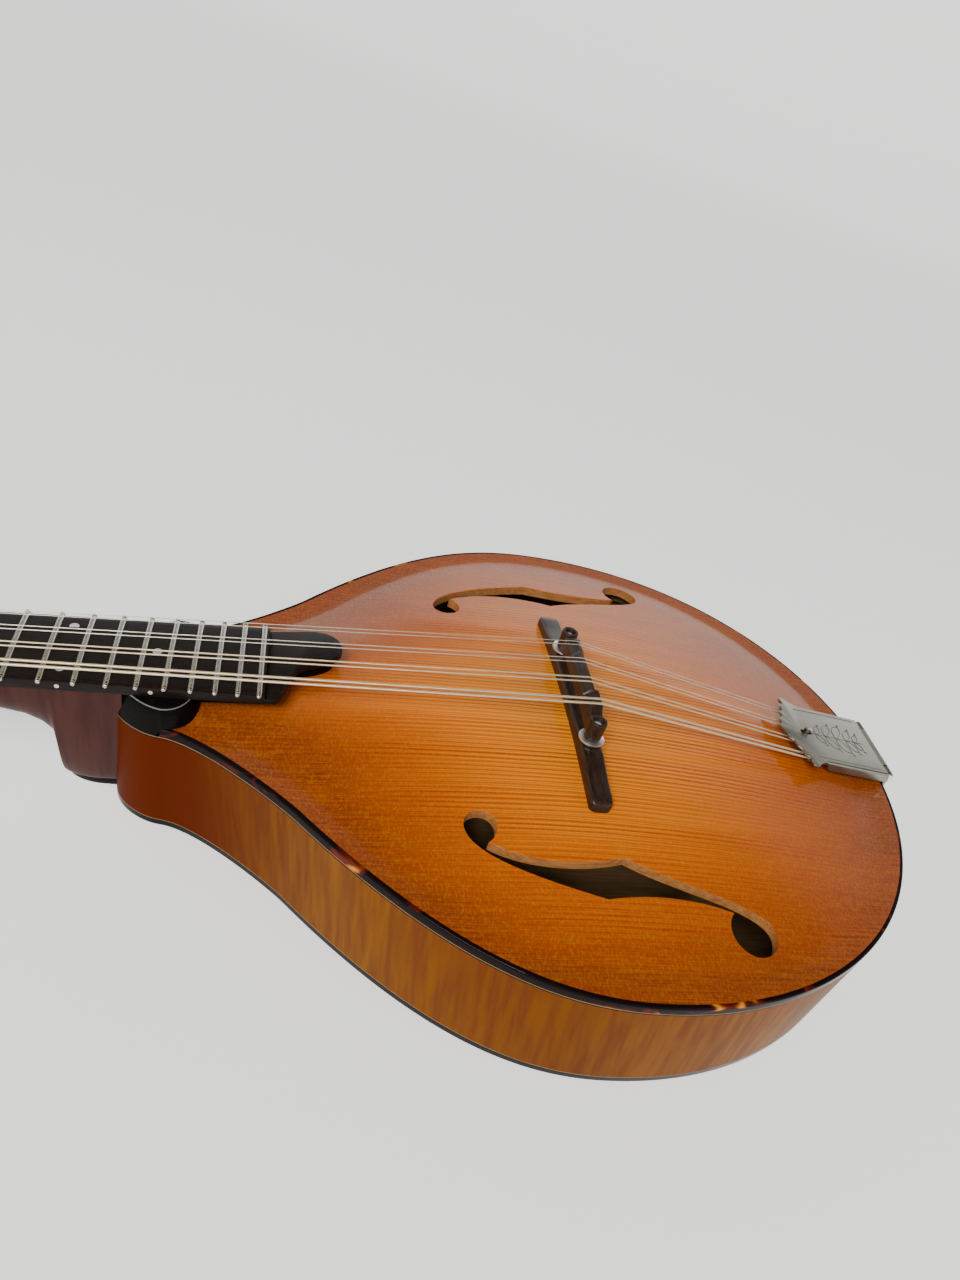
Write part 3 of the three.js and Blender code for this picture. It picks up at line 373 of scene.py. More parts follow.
def together(*shapes):
    vertices, faces, start = [], [], 0
    for v, f in shapes:
        vertices.append(np.asarray(v, float))
        faces += [tuple(int(i) + start for i in face) for face in f]
        start += len(v)
    return np.vstack(vertices), faces


def put(shape, matrix):
    return moved(shape[0], matrix), shape[1]


def slice_at(y, section):
    return [(x, y, z) for x, z in section]


def skin(rings, caps=True):
    """Quads between rings of equal length, with flat ends if caps is on."""
    rings = np.asarray(rings, float)
    count, size = rings.shape[:2]
    faces = [(i + k, i + (k + 1) % size, i + size + (k + 1) % size, i + size + k)
             for i in range(0, (count - 1) * size, size) for k in range(size)]
    if caps:
        faces += [tuple(range(size))[::-1], tuple(range((count - 1) * size, count * size))]
    return rings.reshape(-1, 3), faces


def around(count):
    """Angles at even steps of a full turn."""
    return np.linspace(0, FULL_TURN, count, endpoint=False)


def lathe(profile, segments=48):
    """A (radius, z) profile turned round Z. Points on the axis close the ends."""
    rings = [[(r * math.cos(a), r * math.sin(a), z) for a in around(segments)]
             for r, z in profile if r > 1e-6]
    vertices, faces = skin(rings, caps=False)
    ends = (list(range(segments))[::-1], list(range(len(vertices) - segments, len(vertices))))
    for (r, z), ring in zip((profile[0], profile[-1]), ends):
        if r > 1e-6:
            faces.append(tuple(ring))
        else:
            faces += [(ring[k], ring[(k + 1) % segments], len(vertices)) for k in range(segments)]
            vertices = np.vstack([vertices, (0, 0, z)])
    return vertices, faces


def rounded(profile, radius, steps=4):
    """Rounds every inner corner of an open polyline."""
    points = [np.asarray(p, float) for p in profile]
    out = [points[0]]
    for a, b, c in zip(points, points[1:], points[2:]):
        r = min(radius, 0.45 * np.linalg.norm(a - b), 0.45 * np.linalg.norm(c - b))
        start, end = b + unit(a - b) * r, b + unit(c - b) * r
        out += [(1 - t) ** 2 * start + 2 * t * (1 - t) * b + t * t * end
                for t in np.linspace(0, 1, steps + 1)]
    return np.array(out + [points[-1]])


def turned(profile, radius, segments, tip=None):
    """A lathed solid with rounded corners, closed to its axis at both ends."""
    line = rounded(profile, radius)
    return lathe([(0, line[0][1]), *line, (0, line[-1][1] if tip is None else tip)], segments)


def quarter(share):
    """Height of a quarter circle of radius 1 at a share of its width, and 1 from there on."""
    return math.sqrt(max(0.0, 1 - (1 - min(share, 1)) ** 2))


def loop_normals(points):
    """Outward normals of a closed counter-clockwise loop, mitred."""
    x, y = unit(np.roll(points, -1, 0) - points).T
    after = np.c_[y, -x]
    middle = unit(np.roll(after, 1, 0) + after)
    return middle / np.maximum((middle * after).sum(1), 0.5)[:, None]


def grown(points, distance):
    """A closed loop moved outwards."""
    return points + loop_normals(points) * distance


def turned_left(points):
    """The same loop, counter-clockwise."""
    x, y = points.T
    return points if (x * np.roll(y, -1) - np.roll(x, -1) * y).sum() > 0 else points[::-1]


def both_sides(half):
    """A whole counter-clockwise outline from its half over the X axis."""
    return turned_left(np.vstack([half, (half[half[:, 1] > 1e-9] * (1, -1))[::-1]]))


def prism(points, bottom, top, bevel=0.4, low_bevel=0.0, steps=3):
    """A plate of any outline with rounded edges. bottom and top are heights or functions of (x, y)."""
    points = turned_left(np.asarray(points, float))

    def ring(level, inset=0.0, lift=0.0):
        p = grown(points, -inset) if inset else points
        return np.c_[p, (level(*p.T) if callable(level) else np.full(len(p), float(level))) + lift]

    curve = [(1 - math.cos(a), 1 - math.sin(a)) for a in np.linspace(0, math.pi / 2, steps + 1)]
    rings = [ring(bottom, low_bevel * s, low_bevel * c) for c, s in curve[:-1]] if low_bevel else []
    rings.append(ring(bottom, lift=low_bevel))
    rings += [ring(top, bevel * c, -bevel * s) for c, s in curve] if bevel else [ring(top)]
    return skin(rings)


def bezier(*p, steps=24):
    a, b, c, d = (np.array(p[i:i + 2], float) for i in (0, 2, 4, 6))
    t = np.linspace(0, 1, steps + 1)[:, None]
    return a * (1 - t) ** 3 + 3 * b * t * (1 - t) ** 2 + 3 * c * t * t * (1 - t) + d * t ** 3


def arc(x, y, radius, start, end, steps=16):
    a = np.linspace(start, end, steps + 1)
    return np.c_[x + radius * np.cos(a), y + radius * np.sin(a)]


def traced(start, *parts):
    """Points from start through each part in turn: a straight line to (x, y), a cubic curve
    (x, y, x, y, x, y, steps), or points of its own. Repeated points are dropped."""
    runs = [np.array([start], float)]
    for part in parts:
        if len(part) == 7 and not isinstance(part, np.ndarray):
            runs.append(bezier(*runs[-1][-1], *part[:6], steps=part[6]))
        else:
            runs.append(np.atleast_2d(np.asarray(part, float)))
    points = np.vstack(runs)
    points = points[np.r_[True, np.linalg.norm(np.diff(points, axis=0), axis=1) > 1e-3]]
    return points[:-1] if np.linalg.norm(points[0] - points[-1]) < 1e-3 else points


def runs(*ends):
    """Even steps from a to b, count of them, for each (a, b, count)."""
    return np.concatenate([np.linspace(*each) for each in ends])


def rectangle(x0, x1, half):
    return [(x0, -half), (x1, -half), (x1, half), (x0, half)]


def circle(radius, count):
    return arc(0, 0, radius, 0, FULL_TURN, count)[:-1]


def spaced(points, step):
    """The same line with its points an even step apart."""
    length = np.r_[0, np.cumsum(np.linalg.norm(np.diff(points, axis=0), axis=1))]
    at = np.linspace(0, length[-1], max(int(round(length[-1] / step)), 3) + 1)
    return np.stack([np.interp(at, length, points[:, k]) for k in range(points.shape[1])], 1)


def tube(path, radius, sides=10):
    """A round tube along a 3-D path. radius may be one number or one per point."""
    path = np.asarray(path, float)
    radius = np.broadcast_to(radius, len(path))
    along = unit(np.gradient(path, axis=0))
    normal = np.cross(along[0], (0, 0, 1) if abs(along[0][2]) < 0.9 else (1, 0, 0))
    rings = []
    for p, d, r in zip(path, along, radius):
        normal = unit(normal - d * (normal @ d))
        angles = around(sides)[:, None]
        rings.append(p + r * (np.cos(angles) * normal + np.sin(angles) * np.cross(d, normal)))
    return skin(rings)


def inside(loop, x, y):
    """Which of the points (x, y) lie inside a closed loop."""
    ax, ay = loop[:, 0], loop[:, 1]
    bx, by = np.roll(ax, -1), np.roll(ay, -1)
    hit = np.zeros(len(x), bool)
    for i in range(len(loop)):
        crosses = (ay[i] > y) != (by[i] > y)
        hit ^= crosses & (x < (bx[i] - ax[i]) * (y - ay[i]) / (by[i] - ay[i] + 1e-12) + ax[i])
    return hit


def cut(target, *shapes, matrix=BODY, operation="DIFFERENCE"):
    """Boolean cut or join of a finished piece with each shape."""
    for shape in shapes:
        cutter = solid("cutter", shape, matrix)
        modifier = target.modifiers.new("cut", "BOOLEAN")
        modifier.object, modifier.operation, modifier.solver = cutter, operation, "EXACT"
        graph = bpy.context.evaluated_depsgraph_get()
        mesh = bpy.data.meshes.new_from_object(target.evaluated_get(graph))
        target.modifiers.clear()
        target.data = mesh
        bpy.data.objects.remove(cutter)
    target.data.shade_smooth()
    target.data.set_sharp_from_angle(angle=math.radians(32))


# ---------------- the body's outline and its arch
# The treble side, from the tail to the neck.
HALF_LINE = np.vstack([spaced(traced(
    (145.2, 0), (145.2, 71, 89.7, 125.9, 14.5, 125.9, 120), (-15.5, 125.9, -49.3, 119.1, -102.5, 59.3, 90),
    (-105.8, 55.6, -133.9, 28.8, -148, 27.4, 50), (-154.5, 26.8, -164.5, 20, -165, 11, 40)), 1.6),
    [(-165, 6), (-165, 0)]])
HALF = len(HALF_LINE)
# Distance along the outline from the tail, negative on the bass side.
RUN = np.r_[0, np.cumsum(np.linalg.norm(np.diff(HALF_LINE, axis=0), axis=1))]
RUN = np.r_[RUN, -RUN[1:-1][::-1]]


def outline(inset=0.0):
    """The whole outline, counter-clockwise from the tail, moved inwards."""
    return grown(both_sides(HALF_LINE), -inset)


RIM = outline(1.6)
RIM_ANGLE = np.arctan2(RIM[:HALF, 1], RIM[:HALF, 0])
RIM_RADIUS = np.hypot(RIM[:HALF, 0], RIM[:HALF, 1])
GRID = 2.0
GRID_X, GRID_Y = np.arange(-174, 153, GRID), np.arange(-136, 137, GRID)


def fraction(x, y):
    """Distance from the middle, as a share of the rim's in the same direction."""
    return np.hypot(x, y) / np.interp(np.arctan2(np.abs(y), x), RIM_ANGLE, RIM_RADIUS)


def arch_shape(t):
    """Height at a fraction t of the way out: a dome, and a shallow channel inside the rim."""
    dome = np.maximum(np.cos(np.minimum(t / 0.93, 1) * math.pi / 2), 0)
    return dome - 0.012 * np.maximum(0, 1 - ((t - 0.925) / 0.055) ** 2)


def arch_field():
    """The arch of height 1 on a grid, with its ridges carved away inside the rim."""
    x, y = np.meshgrid(GRID_X, GRID_Y, indexing="ij")
    t = fraction(x, y)
    height = arch_shape(t)
    soft = np.clip((0.88 - t) / 0.2, 0, 1)
    soft = soft * soft * (3 - 2 * soft)
    for _ in range(90):
        spread = (np.roll(height, 1, 0) + np.roll(height, -1, 0) + np.roll(height, 1, 1)
                  + np.roll(height, -1, 1) - 4 * height)
        height = height + 0.24 * soft * spread
    return height / height.max()


ARCH = arch_field()
ARCH_DX, ARCH_DY = np.gradient(ARCH, GRID)


def sample(field, x, y):
    """The value of a field on the grid at any points, interpolated."""
    u = np.clip((np.asarray(x, float) - GRID_X[0]) / GRID, 0, len(GRID_X) - 1.001)
    v = np.clip((np.asarray(y, float) - GRID_Y[0]) / GRID, 0, len(GRID_Y) - 1.001)
    i, j = u.astype(int), v.astype(int)
    a, b = u - i, v - j
    return ((1 - a) * (1 - b) * field[i, j] + a * (1 - b) * field[i + 1, j]
            + (1 - a) * b * field[i, j + 1] + a * b * field[i + 1, j + 1])


def top_height(x, y):
    return TOP_ARCH * sample(ARCH, x, y)


def fitted_mesh(loops, step):
    """Triangles between an outer loop and its holes, with even points inside."""
    points = np.vstack(loops)
    starts = np.cumsum([0] + [len(loop) for loop in loops])
    edges = [(start + k, start + (k + 1) % len(loop))
             for start, loop in zip(starts.tolist(), loops) for k in range(len(loop))]

    def between(at):
        keep = inside(loops[0], at[:, 0], at[:, 1])
        for hole in loops[1:]:
            keep &= ~inside(hole, at[:, 0], at[:, 1])
        return keep

    low, high = loops[0].min(0), loops[0].max(0)
    rows = np.arange(low[1], high[1], step * 0.866)
    columns = np.arange(low[0], high[0], step)
    grid = np.array([(x + (step / 2 if k % 2 else 0), y) for k, y in enumerate(rows) for x in columns])
    grid = grid[between(grid)]
    near = np.full(len(grid), 1e9)
    for chunk in np.array_split(points, max(len(points) // 200, 1)):
        near = np.minimum(near, np.linalg.norm(grid[:, None] - chunk[None], axis=2).min(1))
    everything = np.vstack([points, grid[near > 0.55 * step]])
    made = delaunay_2d_cdt([Vector(p) for p in everything], edges, [], 0, 1e-6, True)
    vertices = np.array([tuple(v) for v in made[0]])
    faces = np.array([f for f in made[2] if len(f) == 3])
    where = {source: i for i, sources in enumerate(made[3]) for source in sources}
    rings = [[where[start + k] for k in range(len(loop))] for start, loop in zip(starts, loops)]
    return vertices, faces[between(vertices[faces].mean(1))], rings


HOLE_CHAMFER = 0.22


def carved(name, arch, base, sign, look, replaces, holes=()):
    """A carved plate over its rim's height, base. sign is +1 for the top and -1 for the back."""
    flat, faces, rings = fitted_mesh([RIM] + [grown(h, HOLE_CHAMFER) for h in holes], 3.2)
    x, y = flat[:, 0], flat[:, 1]
    height = base + sign * arch * sample(ARCH, x, y)
    slope_x, slope_y = (-arch * sample(field, x, y) for field in (ARCH_DX, ARCH_DY))
    up = unit(np.c_[slope_x, slope_y, np.full(len(x), float(sign))])
    inner, edge = height - sign * PLATE_THICK, base - sign * PLATE_EDGE
    inner = np.maximum(inner, edge) if sign > 0 else np.minimum(inner, edge)
    vertices, n = [np.c_[flat, height], np.c_[flat, inner]], len(flat)
    out, normals, kinds = [], [], []

    def face(indices, vectors, kind):
        out.append(indices)
        normals.extend(vectors)
        kinds.append(kind)

    for a, b, c in faces:
        order = (a, b, c) if sign > 0 else (c, b, a)
        face(order, [up[i] for i in order], 0)
        face(tuple(i + n for i in order[::-1]), [-up[i] for i in order[::-1]], 2)
    start = 2 * n
    for which, ring in enumerate(rings):
        ring, m = np.array(ring), len(ring)
        side = np.c_[unit(loop_normals(flat[ring])) * (-1 if which else 1), np.zeros(m)]
        levels, rows = [ring, ring + n], [side, side]
        if which:
            vertices += [np.c_[holes[which - 1], z] for z in (height[ring] - sign * 0.3, inner[ring])]
            levels[1:1] = np.arange(start, start + m), np.arange(start + m, start + 2 * m)
            rows = [up[ring], side, side, -up[ring]]
            start += 2 * m
        turned_over = (which == 0) != (sign > 0)
        for level in range(len(levels) - 1):
            for k in range(m):
                corners = [(level, k), (level + 1, k), (level + 1, (k + 1) % m), (level, (k + 1) % m)]
                if turned_over:
                    corners = corners[::-1]
                face(tuple(levels[i][j] for i, j in corners), [rows[i][j] for i, j in corners],
                     1 if which and level else 0)
    vertices = np.vstack(vertices)
    rim = fraction(vertices[:, 0], vertices[:, 1])
    place = vertices * (1, 1, 0) / 1000
    piece(name, (vertices, out), [look, EDGE_WOOD, INSIDE_WOOD], replaces=replaces, normals=normals,
          attributes={"rim": rim, "arc": place, "shade": np.clip((rim - 0.8) / 0.25, 0, 0.8)},
          face_material=kinds)


hole = turned_left(traced(
    (-40.6, 69.2), (-38.3, 67.6, -37.1, 65, -37.1, 62.2, 8), arc(-42.7, 62.2, 5.6, 0, -math.pi, 22),
    (-48.3, 73, -28, 82, -2.5, 89.1, 44), (8, 87, 26, 85.8, 43, 91.1, 36),
    (41.2, 93, 40.1, 95.3, 40.1, 98, 8), arc(48.7, 98, 8.6, math.pi, 0, 30),
    (57.3, 87, 24, 83, 6.6, 73.1, 48), (-8, 77.2, -27, 77.2, -40.6, 69.2, 40)))
carved("top_plate_carved", TOP_ARCH, 0.0, 1, SPRUCE, "top_plate", [hole, (hole * (1, -1))[::-1]])
carved("back_plate_carved", BACK_ARCH, -DEPTH, -1, BACK_MAPLE, "back_plate")

# ---------------- ribs, bindings and their lines
# Painted shade on the ribs: how far their colour goes towards dark red and their coat thins, by the run from
# the tail in metres. It stands in for the light falling off along the ribs, and is darkest at the heel end.
TONE_AND_SHADE_RUN = (0, 0.05, 0.15, 0.19, 0.235, 0.28, 0.32, 0.35, 0.39)
TONE_AND_SHADE = (0.35, 0.1, 0.05, 0.25, 0.5, 0.3, 0.1, 0.45, 1.0)
LINE_TOP, LINE_BOTTOM = -4.2, -44.9     # where the ribs show between the lines


def strip(name, profile, look, keep, replaces=None):
    """A profile of (inset, z) carried round the outline, over the points that keep picks."""
    rim = outline()
    inward = -loop_normals(rim)
    rings, arcs = [], []
    for k in range(1 - HALF, HALF):
        if keep(*rim[k]):
            rings.append([(*(rim[k] + inward[k] * inset), z) for inset, z in profile])
            arcs += [(RUN[k] + 0.16 * z, z, inset) for inset, z in profile]
    arcs = np.array(arcs) / 1000
    piece(name, skin(rings), look, replaces=replaces, smooth=40,
          attributes={"arc": arcs, "shade": np.interp(np.abs(arcs[:, 0]), TONE_AND_SHADE_RUN, TONE_AND_SHADE)})


def binding(high, radius):
    """A binding's section: flat bottom and inside, with its outer upper corner rounded."""
    corner = arc(radius, high - radius, radius, math.pi, math.pi / 2, 6)
    return [(0, -PLATE_EDGE), *corner, (BINDING_WIDE, high), (BINDING_WIDE, -PLATE_EDGE)]


all_round = lambda x, y: x > 0 or abs(y) > 8
strip("top_binding_strip", binding(0.03, 0.85), TORTOISE, lambda x, y: x > -148.5, "top_binding")
strip("back_binding_strip", [(inset, -DEPTH - z) for inset, z in binding(0, 1.05)], BLACK_PLASTIC, all_round,
      "back_binding")
for name, look, low, high in (("ivory_line_top", IVORY_LINE, -3.62, -PLATE_EDGE),
                              ("dark_line_top", DARK_LINE, LINE_TOP, -3.62),
                              ("ivory_line_back", IVORY_LINE, -45.2, LINE_BOTTOM)):
    strip(name, [(0.0, low), (0.0, high), (1.5, high), (1.5, low)], look, all_round)
for side_name, side in SIDES.items():
    levels = np.linspace(LINE_BOTTOM, LINE_TOP, 9)
    section = [(0.0, z) for z in levels] + [(RIB_THICK, z) for z in levels[::-1]]
    strip(f"rib_{side_name}_bent", section, RIB_MAPLE, lambda x, y: y * side > (-1e-6 if x > 0 else 8),
          f"rib_{side_name}")

button = both_sides(traced((-158, 0), (-158, 8.9), (-170, 9), (-178, 9, -184, 5, -184, 0, 14)))
piece("heel_cap_edge", prism(button, -DEPTH + 0.05, -45.1, 0.1, 0.5), BLACK_PLASTIC)
cap = prism(grown(button, -1.5), -DEPTH, -DEPTH + 0.6, 0, 0.15)
piece("heel_cap", cap, BACK_MAPLE, attributes={"arc": cap[0] / 1000})

# ---------------- riser with its two ears
board_under = lambda x, y: PLANE + x * SLOPE - 4.75 / COSINE
on_top = lambda x, y: np.maximum(top_height(x, y), 0) - 0.35
tongue = traced((-150, -14.0), (-117, -12.5), (-114, -10, -111.5, -7, -108.2, -3.6, 10),
                (-106, 0.5, -104, 1.5, -100.5, 2.8, 10), (-93.5, 5, -91.6, 8, -91.6, 11.4, 10),
                (-91.6, 16.5, -95, 19.8, -101, 19.8, 10), (-114.5, 17.8), (-150, 16.6))
piece("riser_tongue", prism(tongue, on_top, board_under, 0), BLACK_GLOSS, replaces="riser")

shoulder = HALF_LINE[(HALF_LINE[:, 0] < -148.3) & (HALF_LINE[:, 1] > 9.5)]
ear = turned_left(traced((-136.1, 12.0), (-136.1, 14), (-136.1, 22, -141.2, 27.4, -148.3, 27.45, 18),
                         shoulder, (-164.9, 12.0)))
foot_z = np.where(ear[:, 0] < -148, -PLATE_EDGE, np.clip(top_height(*ear.T) - 0.4, -PLATE_EDGE, 9))
# The outer wall leans inwards by this much from the foot to the top.
lean = np.interp(ear[:, 0], [-165, -160, -150, -144, -136], [2.2, 3.4, 2.8, 2.4, 2.4])
lean[ear[:, 1] < 13] = 0
rings = []
for share, inset in ((0, 0), (0.3, 0), (0.6, 0), (0.97, 0), (0.995, 0.08), (1, 0.22), (1, 0.5)):
    line = ear - loop_normals(ear) * (lean * share ** 1.2 + inset)[:, None]
    rings.append(np.c_[line, foot_z + (board_under(*line.T) + 0.1 - foot_z) * share])
vertices, faces = skin(rings)
# The faces of the ear's rounded top edge, which take the light grey painted highlight.
arris_highlight_faces = [int(len(f) == 4 and min(f) >= 3 * len(ear) and max(f) < 6 * len(ear)) for f in faces]
for side_name, side in SIDES.items():
    piece(f"riser_ear_{side_name}", (vertices * (1, side, 1), faces), [BLACK_GLOSS, ARRIS_HIGHLIGHT], smooth=28,
          face_material=arris_highlight_faces)

# ---------------- fretboard, frets and dots
FRETS = [SCALE * (1 - 2 ** (-n / 12)) for n in range(20)]
CROWN_RADIUS, BOARD_UNDER = 220.0, -4.6
FRET_HALF, FRET_HIGH = 1.0, 0.95
board_half = lambda x: 14.3 + (19.48 - 14.3) * x / FRETS[19]
crown = lambda y, top=-0.2: top - CROWN_RADIUS + np.sqrt(CROWN_RADIUS ** 2 - np.asarray(y, float) ** 2)
rings = []
for x in np.linspace(0, 236.6, 60):
    w = board_half(x)
    edge = [(w, BOARD_UNDER), (w, crown(w) - 0.35), (w - 0.1, crown(w) - 0.12)]
    across = [(y, crown(y)) for y in np.linspace(-w + 0.35, w - 0.35, 15)]
    rings.append([(x, y, z) for y, z in [(-y, z) for y, z in edge] + across + edge[::-1]])
curl = traced((236.4, -19.45), (240.2, -19.5), (242.0, -17.0), (243.6, -13, 244, -8, 246, -4.5, 12),
              (247.5, -1.5, 249, -1, 253, 1, 12), (260, 3.5, 263, 7, 262.9, 11.5, 14),
              (262.8, 17.5, 259, 21.5, 252, 21.7, 14), (236.4, 19.45))
extension = prism(curl, BOARD_UNDER, lambda x, y: crown(y, -1.9), 0.45, 0.3)
piece("fretboard_carved", together(skin(rings), extension), EBONY, NECK, replaces="fretboard", smooth=30)

ball = lathe(arc(0, 0, FRET_HIGH, -math.pi / 2, math.pi / 2, 10), 20)
fret_shapes = []
for x in FRETS[1:]:
    half = board_half(x) + 0.25
    rings = []
    for t in np.r_[-1, -0.995, -0.985, -0.97, np.linspace(-0.95, 0.95, 21), 0.97, 0.985, 0.995, 1]:
        k = max(quarter((1 - abs(t)) * half / 0.9), 0.12)
        z = float(crown(t * half))
        bead = arc(0, 0, k, 0, math.pi, 10) * (FRET_HALF, FRET_HIGH) + (x, z - 0.05)
        ends = (x + FRET_HALF * k, z - 0.55), (x - FRET_HALF * k, z - 0.55)
        rings.append(slice_at(t * half, [ends[0], *bead, ends[1]]))
    fret_shapes.append(skin(rings))
    fret_shapes += [put(ball, shift(x, end * (half + 0.1), float(crown(half)) + 0.12)) for end in (1, -1)]
piece("frets", together(*fret_shapes), FRET_METAL, NECK, smooth=50)

dots, side_dots = [], []
for n in (3, 5, 7, 10, 12, 15):
    x = (FRETS[n] + FRETS[n - 1]) / 2
    for y in (-11.5, 11.5) if n == 12 else (0,):
        z = float(crown(y)) + 0.03
        dots.append(put(prism(circle(1.6, 28), z - 0.4, z, 0.05), shift(x, y, 0)))
    at_side = shift(x, 0.05 - board_half(x), -2.9) @ turn("X", 90)
    side_dots.append(put(prism(circle(0.75, 20), 0, 0.12, 0.03), at_side))
piece("board_dots", together(*dots), PEARL, NECK, smooth=40)
piece("side_dots", together(*side_dots), SIDE_DOT, NECK, smooth=40)

# ---------------- neck and headstock
HEEL_BOTTOM = -DEPTH + 3.4
HEAD_BACK = -14.3
# X in the body's frame, and how deep the neck is there.
NECK_DEPTHS = (
    [NUT_X - 4.7, NUT_X + 12, -300, -260, -230, -215, -201, -193, -188, -184.6, -183.4, -183, -165],
    [13.2, 14.4, 15.2, 16, 16.8, 17.4, 18.9, 21.6, 25.5, 30.5, 37.5, 50, 50])
rings = []
for x in runs((NUT_X - 4.7, -215, 40), (-214, -196, 14), (-195, -184.2, 30), (-184, -178, 16),
              (-177, -161, 12)):
    top_z = PLANE + x * SLOPE - 4.62 / COSINE
    half = board_half((x - NUT_X) / COSINE) - 0.05
    heel = 9 * quarter(np.clip((x + 184) / 14, 0, 1))
    drop = min(np.interp(x, *NECK_DEPTHS), top_z - HEEL_BOTTOM)
    section = []
    for a in np.linspace(0, math.pi, 41):
        c = math.cos(a)
        y = (half - heel) * c + heel * math.copysign(min(1, 3 * abs(c)), c)
        section.append((x, y, top_z - drop * max(math.sin(a), 0) ** 0.9))
    rings.append(section)

head_line = both_sides(traced((0, 15.2), (-12, 15.6, -16, 25, -27, 26, 16), (-118, 30.5),
                              (-128, 31, -132, 30, -135, 26, 12), (-138, 20, -139, 14, -148, 0, 16)))
posts = [(f"{name}_{i + 1}", side, FIRST_POST - i * POST_PITCH)
         for name, side in SIDES.items() for i in range(4)]
at_posts = lambda shape, sides=(1, -1), ahead=0.0, z=0.0: together(*[
    put(shape, shift(x + ahead, side * POST_Y, z)) for _, side, x in posts if side in sides])
post_holes = at_posts(lathe([(4.0, -20), (4.0, 6)], 32))
neck_wood = piece("neck_carved", skin(rings), NECK_MAPLE, replaces="neck", smooth=40)
cut(neck_wood, prism(head_line, HEAD_BACK, -2.02, 0, 1.2), matrix=HEAD, operation="UNION")
cut(neck_wood, post_holes, matrix=HEAD)
cut(neck_wood, prism(rectangle(-26.7, -6, 4.6), -12.9, 5, 0), matrix=NECK)
# The cut wood's place along the grain, and no darkening.
x, y, z = np.array([vertex.co for vertex in neck_wood.data.vertices]).T
mark(neck_wood.data, "arc", np.c_[x, y + z, z])
mark(neck_wood.data, "shade", np.zeros(len(x)))
plate = piece("headplate_veneer", prism(grown(head_line, -0.15), -2.0, 0.0, 0.5), BLACK_GLOSS, HEAD,
              replaces="headplate", smooth=32)
cut(plate, post_holes, prism(rectangle(-22, -2, 4.6), -5, 5, 0), prism(rectangle(-0.9, 5, 20), -5, 5, 0),
    matrix=HEAD)

cover_line = both_sides(traced((-1.7, 9.8), (-3, 10), (-14, 10, -18, 7, -34, 1.6, 18),
                               (-35.5, 0.8, -35.5, 0.4, -35.5, 0, 5)))
piece("truss_cover_bevelled", prism(cover_line, 0.3, 2.1, 0.7), BLACK_PLASTIC, HEAD,
      replaces="truss_rod_cover", smooth=25)

nut_profile = rounded([(-4.4, -4.6), (-4.4, -1.1), (-0.35, -0.15), (-0.35, -4.6)], 0.6)
piece("nut_bone", skin([slice_at(y, nut_profile) for y in np.linspace(-14.3, 14.3, 30)]), BONE, NECK,
      replaces="nut")

# ---------------- bridge
BASE_HALF = 55.5
BASE_TOP = ([0, 31, 33, 36, 40, 44, 48, 51, 53.5, 55, 55.5],
            [15.9, 15.9, 15.75, 15.2, 14.4, 13.75, 13.35, 13.05, 12.5, 11.6, 10.6])
rings = []
for y in runs((-BASE_HALF, -50, 14), (-49, 49, 70), (50, BASE_HALF, 14)):
    foot = lambda d: float(top_height(BRIDGE_X + d, y)) + 0.02
    w = 1.9 + 2.2 * quarter((BASE_HALF - abs(y)) / 2.2)
    high = float(np.interp(abs(y), *BASE_TOP))
    r = min(1.0, 0.45 * w)
    corner = [*arc(w - r, high - r, r, math.pi / 2, 0.3, 3), (w, high - r)]
    section = [(-d, z) for d, z in [(w, foot(-w))] + corner[::-1]] + corner
    section += [(d, foot(d)) for d in (w, w / 2, 0, -w / 2)]
    rings.append(slice_at(y, [(BRIDGE_X + d, z) for d, z in section]))
base = piece("bridge_base_carved", skin(rings), ROSEWOOD, replaces="bridge_base", smooth=32)
at_studs = lambda shape: [put(shape, shift(BRIDGE_X, side * STUD_Y, 0)) for side in SIDES.values()]
cut(base, *at_studs(lathe([(1.75, 12.4), (1.75, 40)], 24)))

CREST = PLANE + 4.31
BAND_HALF = 17.4                  # from the middle to the middle of an outer course
COMPENSATION = (3.1, 1.0, 0.9, 1.4)


def crest_line(y):
    """Height and X of the saddle's crest: each course has its own step."""
    course = int(np.clip(round((y / BAND_HALF + 1) * 1.5), 0, 3))
    return CREST + 0.2 - 0.65 * (y / BAND_HALF) ** 2, COMPENSATION[course]


out_y = runs((6.4, 20.4, 22), (21, 26, 8))
rings = []
for y in np.r_[-out_y[::-1], np.linspace(-5.4, 5.4, 20), out_y]:
    out = abs(y)
    low = float(np.interp(out, [0, 17, 21, 24, 26], [19.4, 18.9, 18.2, 17.8, 17.8]))
    high, x = crest_line(y)
    a, b = BRIDGE_X - 2.6, BRIDGE_X + 2.9
    crest_a, crest_b = x - 0.75, x + 0.75
    if out > 20.3:
        high = float(np.interp(out, [20.3, 22.5, 26], [high, 24.9, 24.6]))
        crest_a, crest_b = a + 0.5, b - 0.5
    crest_a, crest_b = max(crest_a, a + 0.15), min(crest_b, b - 0.1)
    section = [(a, low + 0.4), (a, high - 2.6), (crest_a - 0.05, high - 0.25), (crest_a + 0.2, high),
               (crest_b - 0.2, high), (crest_b + 0.05, high - 0.25), (b, high - 2.6), (b, low + 0.4),
               (b - 0.4, low), (a + 0.4, low)]
    rings.append(slice_at(y, section))
saddle = piece("bridge_saddle_carved", skin(rings), ROSEWOOD, body="saddle", replaces="bridge_saddle",
               smooth=28)
boss = turned([(0.1, 17.8), (3.3, 17.8), (3.3, 25.5), (0.1, 25.5)], 0.45, 40)
bore = lathe([(1.72, 10), (1.72, 24.0), (1.9, 24.1), (2.0, 25.1), (2.3, 25.7), (2.3, 27)], 36)
cut(saddle, *at_studs(boss), operation="UNION")
cut(saddle, *at_studs(bore))
